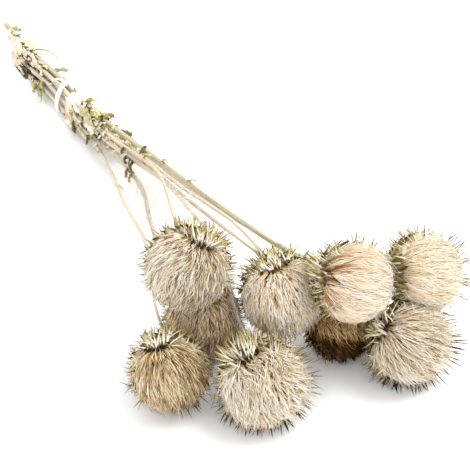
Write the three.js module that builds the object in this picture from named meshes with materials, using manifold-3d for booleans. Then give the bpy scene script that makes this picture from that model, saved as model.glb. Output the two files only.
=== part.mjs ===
// A tied bunch of nine dried thistle flower heads, lying on a table.
// Millimetres, +Z up. The bunch lies along X with its heads at +X and its cut stem ends at -X.
// Places are first given in the bunch's own frame, whose origin is on the table under the tie;
// the exported group is then moved so that its origin is the middle of its footprint.
import * as THREE from "three";
import { mergeVertices } from "three/addons/utils/BufferGeometryUtils.js";
import Module from "manifold-3d";

const wasm = await Module();
wasm.setup();

// ---------- Driving dimensions ----------

const GAP = 0.35; // clearance kept between two separate pieces
const PAPPUS_RADIUS = 18.3; // reach of the down in an average head
const CORE_SHARE = 0.62; // packed middle of the down inside the cup, as a share of its reach
const UNEVEN = 0.03; // how far the packed middle strays from a true ball, as a share
const FACET_DEPTH = 0.93; // the faces of a few-faced ball reach in to this share of its radius
const FRONT_SHARE = 0.8; // packed middle of the down under its locks
const CUP_RADIUS = 11.4; // the green cup that holds the down
const CUP_OFFSET = 5.6; // how far the cup's middle lies behind the head's centre

const DOWN_DETAIL = 4; // how finely the ball of down is divided: about 80 locks on a whole ball
const DOWN_SPREAD = 1.65; // the locks stand within this angle of the mouth's way, in radians
const DOWN_OPEN = 1.1; // and are tucked under the bracts past this angle
const COMB = 0.26; // how far the locks' tips are combed along the ball, in radians
const DOWN_CLEAR = 1.6; // room left for bracts between the down and a neighbour
const PRESSED_COSINE = 0.95; // down on the table is pressed flat round its lowest point
const CRUSHED_COSINE = 0.86; // and no bracts are left standing near there
const BRACTS = 26; // bracts round each cup
const BRACT_WIDTH = 1.7;
const BRACT_THICKNESS = 0.8;
const BRACT_ROOTS = [0.3, 0.85]; // bracts grow this far round from the stem, in radians
const BRACT_TIPS = [0.95, 1.95]; // and the angles at which they end

const STEM_RADIUS_CUT = 1.75; // at the cut end
const STEM_TAPER = 0.6; // the stems thin fast near the tie and slowly near the heads
const STEM_SIDES = 6;
const TAIL_STEPS = 4;
const FRONT_STEPS = 12;
const TIE_HALF = 8; // the stems run straight this far on both sides of the tie
const TAIL_FAN = 0.97; // how wide the stems lie at the cut ends, as a share of that at the tie
const BUNDLE_SIDE = 1.6; // how far the middle of the tied stems lies to +Y
const STEM_PITCH = 3.95; // spacing of the stems inside the tie
const STEM_ROW = 3.48; // height between two rows of stems inside the tie
const BUNDLE_BASE = 4.6; // height of the lowest row of stems at the tie
const TAIL_BASE = 1.4; // height of the lowest row at the cut ends, which lie on the table

const CORD_RADIUS = 0.75;
const CORD_TURNS = 3;
const CORD_PITCH = 1.25;
const TIE_TILT = Math.tan(THREE.MathUtils.degToRad(32)); // the cord crosses the stems askew

// Each head: the middle of its down, the way its mouth faces, the whorl that its down is combed from,
// the size of its down, how far its bracts reach as a share of that, the row and place of its stem
// inside the tie, where the stem is cut, and its radius just under the head.
// `via` are points that the stem passes on its way from the tie to the head.
const HEADS = [
  { name: "head_1", at: [196, -35, 50], mouth: [0.75, -0.6, 0.2], whorl: [0.38, 0.15, 0.91],
    size: 1.0, fringe: 1.14, row: 2, place: -0.5, cut: -70, slim: 0.75,
    via: [[66, -1.6, 19.5], [84, -1.4, 23.5], [105, -1.2, 28.5], [124, -6, 33], [146, -15, 40],
      [164, -21.5, 45]] },
  { name: "head_2", at: [197, -29, 17], mouth: [0.82, -0.5, 0.15], whorl: [0.16, -0.1, 0.98],
    size: 0.96, fringe: 1.13, row: 0, place: -0.5, cut: -62, slim: 0.85,
    via: [[62, -1.5, 8.2], [85, -2.5, 10], [100, -5, 11.5], [122, -13.5, 13], [141, -19.5, 13.5],
      [165, -20.5, 14.2]] },
  { name: "head_3", at: [216, -57, 17.5], mouth: [0.86, -0.48, 0.12], whorl: [-0.02, -0.32, 0.95],
    size: 0.93, fringe: 1.15, row: 0, place: -1.5, cut: -52, slim: 0.8,
    via: [[46, -5.2, 7.5], [65, -8.6, 9.2], [91, -14.4, 11.4], [111, -19.2, 12.5], [131, -22.5, 13],
      [145, -27, 13.5], [163, -35.5, 14], [180, -43, 15]] },
  { name: "head_4", at: [243, -28, 18.5], mouth: [0.93, -0.28, 0.06], whorl: [-0.05, -0.42, 0.91],
    size: 1.04, fringe: 1.24, row: 1, place: -1, cut: -60, slim: 1.0,
    via: [[60, -2.2, 14], [92, 0.5, 18.5], [115, 1, 23], [143, -2.5, 28], [163, -6, 32.5], [185, -12.5, 34],
      [203, -18, 31], [216, -21, 23.5]] },
  { name: "head_5", at: [217, -1, 34], mouth: [0.95, -0.3, 0.1], whorl: [0.07, -0.22, 0.97],
    size: 1.0, fringe: 1.16, row: 1, place: 0, cut: -66, slim: 0.85,
    via: [[55, 3, 12.5], [88, 6.2, 16.5], [117, 7, 20.5], [141, 8.7, 25], [162, 9.5, 29], [185, 7.5, 32]] },
  { name: "head_6", at: [238, 20, 47], mouth: [0.88, 0.3, 0.2], whorl: [-0.11, -0.87, 0.47],
    size: 0.97, fringe: 1.2, row: 2, place: 0.5, cut: -84, slim: 1.3,
    via: [[64, 3.2, 20.5], [106, 4.6, 27.5], [148, 4.9, 35.5], [173, 6, 40], [194, 8, 43]] },
  { name: "head_7", at: [231, 21, 16.5], mouth: [0.95, -0.1, 0.15], whorl: [0.07, -0.52, 0.85],
    size: 0.9, fringe: 1.14, row: 0, place: 0.5, cut: -48, slim: 0.9,
    via: [[68, 6, 8.2], [90, 8.6, 9], [128, 12.2, 10.5], [151, 15, 11.5], [182, 19, 13]] },
  { name: "head_8", at: [242, 56, 37], mouth: [0.76, 0.58, 0.25], whorl: [-0.02, -0.88, 0.48],
    size: 0.98, fringe: 1.24, row: 1, place: 1, cut: -58, slim: 1.1,
    via: [[50, 7.8, 11.3], [72, 9.8, 12.5], [93, 11.4, 14.5], [132, 14.4, 18.5], [157, 16.4, 22.5],
      [192, 20.8, 28], [212, 29, 31]] },
  { name: "head_9", at: [257, 38, 18], mouth: [0.98, -0.05, 0.12], whorl: [-0.05, -0.75, 0.66],
    size: 1.02, fringe: 1.22, row: 0, place: 1.5, cut: -55, slim: 0.9,
    via: [[67, 11.5, 8], [88, 14, 8.8], [126, 19, 10.5], [149, 23, 12], [182, 31, 13.5], [208, 37, 14.5]] },
];

// Dried leaves and scales left on the stems: which head's stem, how far along X, the way that the
// leaf leans (degrees round the stem, 0 up, 90 towards -Y), its length and its width.
const LEAVES = [
  { stem: 8, x: -24, lean: -50, long: 16, wide: 5.4 },
  { stem: 6, x: -50, lean: 10, long: 9, wide: 3.2 },
  { stem: 6, x: -68, lean: -30, long: 8, wide: 2.8 },
  { stem: 3, x: -23, lean: 95, long: 11, wide: 3.6 },
  { stem: 3, x: -39, lean: 75, long: 9, wide: 3.2 },
  { stem: 4, x: -34, lean: 80, long: 9, wide: 3.2 },
  { stem: 6, x: 22, lean: -25, long: 13, wide: 4.4 },
  { stem: 6, x: 40, lean: -10, long: 11, wide: 3.8 },
  { stem: 1, x: 30, lean: 20, long: 12, wide: 4.0 },
  { stem: 1, x: 49, lean: 45, long: 8, wide: 2.8 },
  { stem: 8, x: 33, lean: -65, long: 12, wide: 4.0 },
  { stem: 8, x: 52, lean: -75, long: 9, wide: 3.0 },
  { stem: 3, x: 24, lean: 95, long: 11, wide: 3.6 },
  { stem: 3, x: 41, lean: 80, long: 9, wide: 3.0 },
  { stem: 4, x: 84, lean: 100, long: 12, wide: 3.4 },
  { stem: 6, x: 104, lean: -15, long: 8, wide: 2.6 },
  { stem: 6, x: 128, lean: -30, long: 7, wide: 2.2 },
];

const COLOURS = {
  pappus: { color: 0xe6d3b0, roughness: 0.9, metalness: 0 },
  bracts: { color: 0x9a9260, roughness: 0.75, metalness: 0 },
  stem: { color: 0xc9bb96, roughness: 0.8, metalness: 0 },
  tie: { color: 0xece8dd, roughness: 0.95, metalness: 0 },
};

// ---------- Small helpers ----------

const vec = (a) => new THREE.Vector3(...a);
const lerp = THREE.MathUtils.lerp;
const radians = THREE.MathUtils.degToRad;

// A repeatable stream of random numbers from 0 to 1.
function seeded(seed) {
  let state = seed >>> 0;
  return () => {
    state = (state + 0x6d2b79f5) >>> 0;
    let t = Math.imul(state ^ (state >>> 15), 1 | state);
    t = (t + Math.imul(t ^ (t >>> 7), 61 | t)) ^ t;
    return ((t ^ (t >>> 14)) >>> 0) / 4294967296;
  };
}

// The solid of a closed geometry whose corners may still be doubled.
function solidOf(geometry) {
  const bare = geometry.clone();
  bare.deleteAttribute("normal");
  bare.deleteAttribute("uv");
  const merged = mergeVertices(bare, 1e-4);
  const mesh = new wasm.Mesh({
    numProp: 3,
    vertProperties: new Float32Array(merged.attributes.position.array),
    triVerts: new Uint32Array(merged.index.array),
  });
  return new wasm.Manifold(mesh);
}

function geometryOf(solid) {
  const mesh = solid.getMesh();
  const geometry = new THREE.BufferGeometry();
  geometry.setAttribute("position", new THREE.BufferAttribute(new Float32Array(mesh.vertProperties), 3));
  geometry.setIndex(new THREE.BufferAttribute(new Uint32Array(mesh.triVerts), 1));
  return geometry;
}

const joined = (solids) => solids.reduce((all, one) => all.add(one));

// The largest body of a solid: scraps that a cut has set loose are dropped.
function largest(solid) {
  return solid.decompose().reduce((best, one) => (one.volume() > best.volume() ? one : best));
}

// A closed tapering rod through `points`. Each ring is an ellipse with the half sizes [across, through]
// that `halves(t)` gives; a ring of no size is a pointed end. `across` is the first ring's wide direction.
function rod(points, halves, sides, across) {
  const position = [];
  const rings = [];
  let wide = across.clone();
  points.forEach((point, i) => {
    const before = points[Math.max(i - 1, 0)];
    const after = points[Math.min(i + 1, points.length - 1)];
    const along = after.clone().sub(before).normalize();
    wide = wide.sub(along.clone().multiplyScalar(wide.dot(along))).normalize();
    const through = along.clone().cross(wide);
    const [a, b] = halves(i / (points.length - 1));
    const count = a > 0 ? sides : 1;
    rings.push({ first: position.length / 3, count });
    for (let k = 0; k < count; k++) {
      const turn = (2 * Math.PI * k) / sides;
      const corner = point.clone();
      if (a > 0) corner.addScaledVector(wide, a * Math.cos(turn));
      if (a > 0) corner.addScaledVector(through, b * Math.sin(turn));
      position.push(corner.x, corner.y, corner.z);
    }
  });
  const index = [];
  for (let i = 1; i < rings.length; i++) {
    const low = rings[i - 1];
    const high = rings[i];
    for (let k = 0; k < sides; k++) {
      const next = (k + 1) % sides;
      const above = high.first + (high.count > 1 ? next : 0);
      if (low.count > 1) index.push(low.first + k, low.first + next, above);
      if (high.count > 1 && low.count > 1) index.push(low.first + k, high.first + next, high.first + k);
      if (high.count > 1 && low.count === 1) index.push(low.first, high.first + next, high.first + k);
    }
  }
  for (let k = 1; k < sides - 1; k++) {
    const start = rings[0];
    const end = rings[rings.length - 1];
    if (start.count > 1) index.push(start.first, start.first + k + 1, start.first + k);
    if (end.count > 1) index.push(end.first, end.first + k, end.first + k + 1);
  }
  const geometry = new THREE.BufferGeometry();
  geometry.setAttribute("position", new THREE.Float32BufferAttribute(position, 3));
  geometry.setIndex(index);
  return solidOf(geometry);
}

// A ball with few faces.
function ball(centre, radius, detail) {
  const geometry = new THREE.IcosahedronGeometry(radius, detail);
  geometry.translate(centre.x, centre.y, centre.z);
  return solidOf(geometry);
}

// A great box that fills the side of a plane that its normal points to.
function halfSpace(point, normal) {
  const size = 400;
  const geometry = new THREE.BoxGeometry(size, size, size);
  geometry.translate(0, 0, size / 2);
  const turn = new THREE.Quaternion().setFromUnitVectors(new THREE.Vector3(0, 0, 1), normal);
  geometry.applyQuaternion(turn);
  geometry.translate(point.x, point.y, point.z);
  return solidOf(geometry);
}

// ---------- Heads: their places and the room that each one has ----------

const heads = HEADS.map((head, index) => ({
  ...head,
  index,
  centre: vec(head.at),
  mouth: vec(head.mouth).normalize(),
  whorl: vec(head.whorl).normalize(),
  down: PAPPUS_RADIUS * head.size,
  reach: PAPPUS_RADIUS * head.size * head.fringe,
  lies: head.at[2] < PAPPUS_RADIUS * head.size * 1.1,
}));

// The planes that part a head from its neighbours and from the table. Down and bracts bend along them.
function wallsOf(head) {
  const walls = [{ point: new THREE.Vector3(0, 0, 0), normal: new THREE.Vector3(0, 0, -1), margin: 0 }];
  for (const other of heads) {
    if (other === head) continue;
    const way = other.centre.clone().sub(head.centre);
    const apart = way.length();
    if (apart > head.reach + other.reach) continue;
    const share = head.down / (head.down + other.down);
    const point = head.centre.clone().addScaledVector(way, share);
    walls.push({ point, normal: way.normalize(), margin: GAP / 2 });
  }
  return walls;
}

// Moves a point back inside the walls, so that it stays `clear` of each.
function keptInside(point, walls, clear) {
  for (const wall of walls) {
    const over = point.clone().sub(wall.point).dot(wall.normal) + wall.margin + clear;
    if (over > 0) point.addScaledVector(wall.normal, -over);
  }
  return point;
}

// Directions spread evenly over a ball, from `pole` outwards, between two angles.
function spread(pole, count, from, to, random) {
  const side = new THREE.Vector3(0.3, 0.5, 0.8).cross(pole).normalize();
  const golden = Math.PI * (3 - Math.sqrt(5));
  const found = [];
  for (let i = 0; i < count; i++) {
    const level = lerp(Math.cos(from), Math.cos(to), (i + 0.5) / count);
    const tilt = Math.acos(level) + (random() - 0.5) * 0.12;
    const turn = i * golden + (random() - 0.5) * 0.3;
    const around = side.clone().applyAxisAngle(pole, turn);
    found.push({ tilt, around });
  }
  return found;
}

// The point at an angle `tilt` from `pole` towards `around`, at a distance from the centre.
function pointAt(centre, pole, around, tilt, distance) {
  const way = pole.clone().multiplyScalar(Math.cos(tilt)).addScaledVector(around, Math.sin(tilt));
  return centre.clone().addScaledVector(way, distance);
}

// The down: a packed ball whose surface is drawn out into locks, combed away from the whorl.
function downOf(head, walls) {
  const random = seeded(100 + head.index);
  const bare = new THREE.IcosahedronGeometry(1, DOWN_DETAIL);
  bare.deleteAttribute("normal");
  bare.deleteAttribute("uv");
  const geometry = mergeVertices(bare, 1e-4);
  const spots = geometry.attributes.position;
  const corners = geometry.index.array;
  const beside = Array.from({ length: spots.count }, () => new Set());
  for (let i = 0; i < corners.length; i += 3) {
    for (const [a, b] of [[0, 1], [1, 2], [2, 0]]) {
      beside[corners[i + a]].add(corners[i + b]);
      beside[corners[i + b]].add(corners[i + a]);
    }
  }
  const locks = new Set();
  for (let i = 0; i < spots.count; i++) {
    const way = new THREE.Vector3().fromBufferAttribute(spots, i);
    const forwards = way.angleTo(head.mouth);
    const share = forwards < DOWN_SPREAD ? FRONT_SHARE : CORE_SHARE;
    const uneven = lerp(1 - UNEVEN, 1 + UNEVEN, random());
    const point = head.centre.clone().addScaledVector(way, head.down * share * uneven);
    if (head.lies && way.z < -PRESSED_COSINE) {
      point.copy(head.centre).addScaledVector(way, head.centre.z / -way.z);
    } else if (forwards < DOWN_SPREAD && ![...beside[i]].some((other) => locks.has(other))) {
      locks.add(i);
      const tilt = way.angleTo(head.whorl);
      const around = way.clone().addScaledVector(head.whorl, -Math.cos(tilt)).normalize();
      const lean = Math.sin(Math.min(tilt * 2, Math.PI / 2, Math.PI - tilt));
      const comb = COMB * lerp(0.7, 1.2, random()) * lean;
      const raised = forwards < DOWN_OPEN ? lerp(0.94, 1.07, random()) : lerp(0.84, 0.9, random());
      const reach = head.down * raised;
      point.copy(pointAt(head.centre, head.whorl, around, tilt + comb, reach));
      keptInside(point, walls, DOWN_CLEAR);
    }
    spots.setXYZ(i, point.x, point.y, point.z);
  }
  return solidOf(geometry);
}

// The cup and its bracts, which lie round the back of the down and reach out past it.
// `extra` makes everything that much fatter.
function involucreOf(head, walls, extra) {
  const random = seeded(500 + head.index);
  const behind = head.mouth.clone().negate();
  const middle = head.centre.clone().addScaledVector(behind, CUP_OFFSET * head.size);
  const pieces = [ball(middle, CUP_RADIUS * head.size + extra, 1)];
  for (const { tilt, around } of spread(behind, BRACTS, ...BRACT_TIPS, random)) {
    const reach = lerp(head.down * 1.08, head.reach, random());
    const root = THREE.MathUtils.mapLinear(tilt, ...BRACT_TIPS, ...BRACT_ROOTS);
    const points = [
      pointAt(head.centre, behind, around, root, head.down * 0.76),
      pointAt(head.centre, behind, around, lerp(root, tilt, 0.55), head.down),
      pointAt(head.centre, behind, around, tilt, reach),
    ];
    const lowest = Math.min(...points.map((point) => point.clone().sub(head.centre).normalize().z));
    if (head.lies && lowest < -CRUSHED_COSINE) continue;
    points.slice(1).forEach((point) => keptInside(point, walls, BRACT_THICKNESS / 2));
    const across = around.clone().cross(behind);
    const halves = (t) => (t < 1 || extra
      ? [BRACT_WIDTH * lerp(0.55, 0.4, t) * (t < 1) + extra, BRACT_THICKNESS * 0.5 * (t < 1) + extra]
      : [0, 0]);
    pieces.push(rod(points, halves, extra ? 4 : 3, across));
  }
  return joined(pieces);
}

// ---------- Stems ----------

// Where the head's stem lies inside the tie.
function slotOf(head) {
  return new THREE.Vector3(0, BUNDLE_SIDE + head.place * STEM_PITCH, BUNDLE_BASE + head.row * STEM_ROW);
}

// The corners of the stem's line: from its cut end, straight through the tie, to the back of the cup.
function stemPoints(head) {
  const slot = slotOf(head);
  const low = slot.z - BUNDLE_BASE + TAIL_BASE;
  const setBack = (CUP_OFFSET + CUP_RADIUS) * head.size + 2 * GAP;
  const back = head.centre.clone().addScaledVector(head.mouth, -setBack);
  const tail = new THREE.CatmullRomCurve3([
    new THREE.Vector3(head.cut, lerp(BUNDLE_SIDE, slot.y, TAIL_FAN), low),
    new THREE.Vector3(head.cut * 0.6, lerp(BUNDLE_SIDE, slot.y, TAIL_FAN), low),
    slot.clone().setX(-1.8 * TIE_HALF),
    slot.clone().setX(-TIE_HALF),
  ], false, "centripetal");
  const front = new THREE.CatmullRomCurve3([
    slot.clone().setX(TIE_HALF),
    slot.clone().setX(1.6 * TIE_HALF),
    ...head.via.map(vec),
    back,
  ], false, "centripetal");
  return [...tail.getSpacedPoints(TAIL_STEPS), ...front.getSpacedPoints(FRONT_STEPS)];
}

const stemRadius = (head, t) => lerp(STEM_RADIUS_CUT, head.slim, Math.pow(t, STEM_TAPER));

function stemRod(head, extra) {
  const halves = (t) => [stemRadius(head, t) + extra, stemRadius(head, t) + extra];
  return rod(stemPoints(head), halves, STEM_SIDES, new THREE.Vector3(0, 1, 0));
}

// A dried leaf: a thin pointed blade, rolled along its length, rooted in the stem.
function leafOn(leaf) {
  const line = stemPoints(heads[leaf.stem - 1]);
  const next = line.findIndex((point) => point.x > leaf.x);
  const along = line[next].clone().sub(line[next - 1]).normalize();
  const foot = line[next - 1].clone().addScaledVector(along, (leaf.x - line[next - 1].x) / along.x);
  const lean = radians(leaf.lean);
  const out = new THREE.Vector3(0, -Math.sin(lean), Math.cos(lean));
  const across = along.clone().cross(out).normalize();
  const points = [0, 0.3, 0.65, 1].map((t) =>
    foot.clone()
      .addScaledVector(along, leaf.long * (t * 0.9 - 0.1))
      .addScaledVector(out, 1.2 + leaf.long * 0.5 * Math.sin(t * 1.7))
      .addScaledVector(across, leaf.wide * 0.25 * Math.sin(t * 5 + leaf.x)));
  points[0] = foot.clone();
  const broad = (t) => leaf.wide * (0.25 + 0.5 * Math.sin(Math.PI * (0.15 + t * 0.8)));
  const halves = (t) => (t < 1 ? [broad(t), 0.5] : [0, 0]);
  return rod(points, halves, 4, across);
}

// ---------- Tie ----------

// The cord's turns lie side by side, drawn tight round the stems, with a knot on top.
function tieSolid() {
  const steps = 18;
  const half = (CORD_TURNS * CORD_PITCH) / 2;
  const section = [[half, 0], [-half, 0]];
  for (let k = 0; k <= 2 * CORD_TURNS; k++) {
    const crest = k % 2 === 1;
    section.push([-half + (k * CORD_PITCH) / 2, CORD_RADIUS * (crest ? 2 : 1.15)]);
  }
  const slots = heads.map(slotOf);
  const position = [];
  for (let i = 0; i < steps; i++) {
    const turn = (2 * Math.PI * i) / steps;
    const out = new THREE.Vector3(0, Math.cos(turn), Math.sin(turn));
    const outermost = slots.reduce((best, slot) => (slot.dot(out) > best.dot(out) ? slot : best));
    for (const [along, rise] of section) {
      const corner = outermost.clone().addScaledVector(out, STEM_RADIUS_CUT + GAP + rise);
      corner.x = along - TIE_TILT * (corner.y - BUNDLE_SIDE);
      position.push(corner.x, corner.y, corner.z);
    }
  }
  const index = [];
  const count = section.length;
  for (let i = 0; i < steps; i++) {
    for (let k = 0; k < count; k++) {
      const a = i * count + k;
      const b = i * count + ((k + 1) % count);
      const c = ((i + 1) % steps) * count + k;
      const d = ((i + 1) % steps) * count + ((k + 1) % count);
      index.push(a, d, b, a, c, d);
    }
  }
  const geometry = new THREE.BufferGeometry();
  geometry.setAttribute("position", new THREE.Float32BufferAttribute(position, 3));
  geometry.setIndex(index);
  const top = BUNDLE_BASE + 2 * STEM_ROW + STEM_RADIUS_CUT + GAP;
  return solidOf(geometry).add(ball(new THREE.Vector3(0, BUNDLE_SIDE, top + 2 * CORD_RADIUS), 1.5, 1));
}

// ---------- Assembly ----------

const bunch = new THREE.Group();

// Adds a solid, given in the bunch's frame, as a named mesh inside `parent`.
function place(parent, name, solid, look) {
  const geometry = geometryOf(solid);
  parent.updateMatrixWorld(true);
  geometry.applyMatrix4(parent.matrixWorld.clone().invert());
  const mesh = new THREE.Mesh(geometry, new THREE.MeshStandardMaterial(look));
  mesh.name = name;
  parent.add(mesh);
}

const table = halfSpace(new THREE.Vector3(0, 0, 0), new THREE.Vector3(0, 0, -1));
const clearStems = heads.map((head) => stemRod(head, GAP));

for (const head of heads) {
  const leaves = LEAVES.filter((leaf) => leaf.stem === head.index + 1).map(leafOn);
  let stem = stemRod(head, 0);
  for (const leaf of leaves) {
    let cut = leaf;
    clearStems.forEach((other, i) => {
      if (i !== head.index) cut = cut.subtract(other);
    });
    stem = stem.add(cut);
  }
  place(bunch, `stem_${head.index + 1}`, largest(stem.subtract(table)), COLOURS.stem);
}

for (const head of heads) {
  const group = new THREE.Group();
  group.position.copy(head.centre);
  group.quaternion.setFromUnitVectors(new THREE.Vector3(0, 0, 1), head.mouth);
  bunch.add(group);
  const walls = wallsOf(head);
  const room = walls.map((wall) =>
    halfSpace(wall.point.clone().addScaledVector(wall.normal, -wall.margin), wall.normal));
  let down = downOf(head, walls);
  let involucre = involucreOf(head, walls, 0);
  for (const wall of room) {
    down = down.subtract(wall);
    involucre = involucre.subtract(wall);
  }
  for (const stem of clearStems) {
    down = down.subtract(stem);
    involucre = involucre.subtract(stem);
  }
  const hollow = (head.down * CORE_SHARE * (1 + UNEVEN)) / FACET_DEPTH;
  involucre = involucre.subtract(ball(head.centre, hollow + GAP, 1));
  const around = involucreOf(head, walls, GAP).subtract(ball(head.centre, hollow, 1));
  place(group, `${head.name}_involucre`, largest(involucre), COLOURS.bracts);
  place(group, `${head.name}_pappus`, largest(down.subtract(around)), COLOURS.pappus);
}

place(bunch, "tie", tieSolid(), COLOURS.tie);

const box = new THREE.Box3().setFromObject(bunch, true);
const middle = box.getCenter(new THREE.Vector3());
bunch.position.set(-middle.x, -middle.y, -box.min.z);

export default bunch;
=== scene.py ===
"""A bunch of nine dried thistle heads, tied with cord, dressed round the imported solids.

Shapes are worked out in millimetres in the bunch's own frame, which has its origin on the table
under the tie and its heads at +X, and are moved into the part's frame as each mesh is made.
"""

import math

import bpy
import numpy as np
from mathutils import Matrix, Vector


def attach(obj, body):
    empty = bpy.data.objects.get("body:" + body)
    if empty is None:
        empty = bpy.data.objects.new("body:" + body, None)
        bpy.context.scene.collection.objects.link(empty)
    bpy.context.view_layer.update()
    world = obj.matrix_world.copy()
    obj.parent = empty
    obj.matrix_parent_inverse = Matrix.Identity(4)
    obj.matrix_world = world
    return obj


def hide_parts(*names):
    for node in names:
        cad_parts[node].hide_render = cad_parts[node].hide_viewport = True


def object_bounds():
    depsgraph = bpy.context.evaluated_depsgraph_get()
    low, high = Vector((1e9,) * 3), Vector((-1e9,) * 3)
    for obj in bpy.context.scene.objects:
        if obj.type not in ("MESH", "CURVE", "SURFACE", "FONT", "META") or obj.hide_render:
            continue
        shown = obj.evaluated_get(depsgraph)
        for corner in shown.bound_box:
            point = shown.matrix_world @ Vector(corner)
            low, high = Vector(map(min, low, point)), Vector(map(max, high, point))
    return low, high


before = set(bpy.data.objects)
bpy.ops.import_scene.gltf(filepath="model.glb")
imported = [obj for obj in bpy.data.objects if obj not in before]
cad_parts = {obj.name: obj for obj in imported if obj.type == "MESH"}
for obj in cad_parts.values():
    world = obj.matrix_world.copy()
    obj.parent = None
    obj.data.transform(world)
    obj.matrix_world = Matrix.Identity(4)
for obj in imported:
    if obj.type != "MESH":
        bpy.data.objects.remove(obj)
cad_box = [list(corner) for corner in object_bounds()]

MM = 0.001
SHIFT = np.array([-95.6266, 0.0724, 0.0])  # from the bunch's frame to the part's

# ---------- Camera ----------

VIEW_AZIMUTH = math.radians(57.4)
VIEW_ELEVATION = math.radians(42)
VIEW_DISTANCE = 0.600
VIEW_TARGET = Vector((0.04701, 0.02276, 0.0))
FIELD_OF_VIEW = math.radians(22)
SENSOR_WIDTH = 36.0

view_back = Vector((
    math.sin(VIEW_AZIMUTH) * math.cos(VIEW_ELEVATION),
    -math.cos(VIEW_AZIMUTH) * math.cos(VIEW_ELEVATION),
    math.sin(VIEW_ELEVATION),
))
camera_data = bpy.data.cameras.new("camera")
camera_data.sensor_width = SENSOR_WIDTH
camera_data.lens = SENSOR_WIDTH / 2 / math.tan(FIELD_OF_VIEW / 2)
camera = bpy.data.objects.new("camera", camera_data)
camera.location = VIEW_TARGET + view_back * VIEW_DISTANCE
camera.rotation_mode = "QUATERNION"
camera.rotation_quaternion = (-view_back).to_track_quat("-Z", "Y")
camera_data.clip_start = 0.01
camera_data.clip_end = 20.0
bpy.context.scene.collection.objects.link(camera)
bpy.context.scene.camera = camera

# The camera's directions, by which the bracts round each head's outline are placed.
SEEN_NEAR = np.array(view_back)
SEEN_RIGHT = np.array([math.cos(VIEW_AZIMUTH), math.sin(VIEW_AZIMUTH), 0.0])
SEEN_UP = np.cross(SEEN_NEAR, SEEN_RIGHT)

# ---------- What the bunch is made of ----------

DOWN_SEED, BRACT_SEED, STEM_SEED, LEAF_SEED = 1000, 2000, 3000, 4000
FLOOR_CLEAR = 0.1  # nothing reaches lower over the table
CLEAR = 0.45  # between a head's dressing and the table, and between neighbours' down
BOX_SPARE = np.array([8.6, 3.9, 3.9])  # how far a dressed head may reach past the solids' box
PAPPUS_RADIUS = 18.3  # of the down on a head of size 1
CORE_SHARE = 0.68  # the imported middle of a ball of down, in shares of its radius
SILKY_CONTRAST = 0.1  # down with less contrast than this is silky: finer, with a fuller middle
SILKY_CORE = 0.86
# The down's layers: locks, strands in each, height in shares of the radius, thickness, how far
# tips stray, how much they lift and how far they tangle.
LAYERS = [(420, 3, 0.83, 0.30, 0.5, 1.0, 0.0), (960, 4, 0.915, 0.21, 0.35, 1.0, 2.0),
          (480, 2, 0.95, 0.17, 0.5, 1.3, 4.0), (90, 1, 0.97, 0.10, 1.5, 2.5, 0.0)]
SILKY_LAYERS = [(420, 3, 0.89, 0.30, 0.5, 1.0, 0.0), (960, 4, 0.925, 0.21, 0.35, 1.0, 2.0),
                (480, 2, 0.94, 0.17, 0.5, 1.3, 4.0), (420, 1, 0.95, 0.09, 1.5, 4.0, 0.0)]
CUP_OFFSET = 5.6  # from a head's middle back to its cup's, for size 1
CUP_RADIUS = 11.4
STEM_GAP = 0.7  # between a stem's end and its cup
STEM_RADIUS_CUT = 1.75  # at the cut end
STEM_TAPER = 0.6  # under 1, stems get thinner sooner
TIE_HALF = 8.0  # half the length on which stems run straight through the tie
TAIL_FAN = 0.97  # how wide the cut ends lie, in shares of the width in the tie
BUNDLE_SIDE = 1.6  # how far to +Y the bundle's middle lies in the tie
STEM_PITCH = 3.95  # between neighbours in a row
STEM_ROW = 3.48  # between rows
BUNDLE_BASE = 4.6  # the lowest row's height in the tie
TAIL_BASE = 1.4  # and at the cut ends
CORD_RADIUS = 0.75
CORD_TURNS = 3
CORD_PITCH = 1.25  # between turns
TIE_TILT = math.tan(math.radians(32))  # how the turns lean


class Head:
    """One head with its stem: what HEADS says of it, and what is worked out from that."""

    fade, fingers, under = 0.3, 0, 0.0  # where HEADS doesn't give them

    def __init__(self, **given):
        vars(self).update(given)


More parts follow.
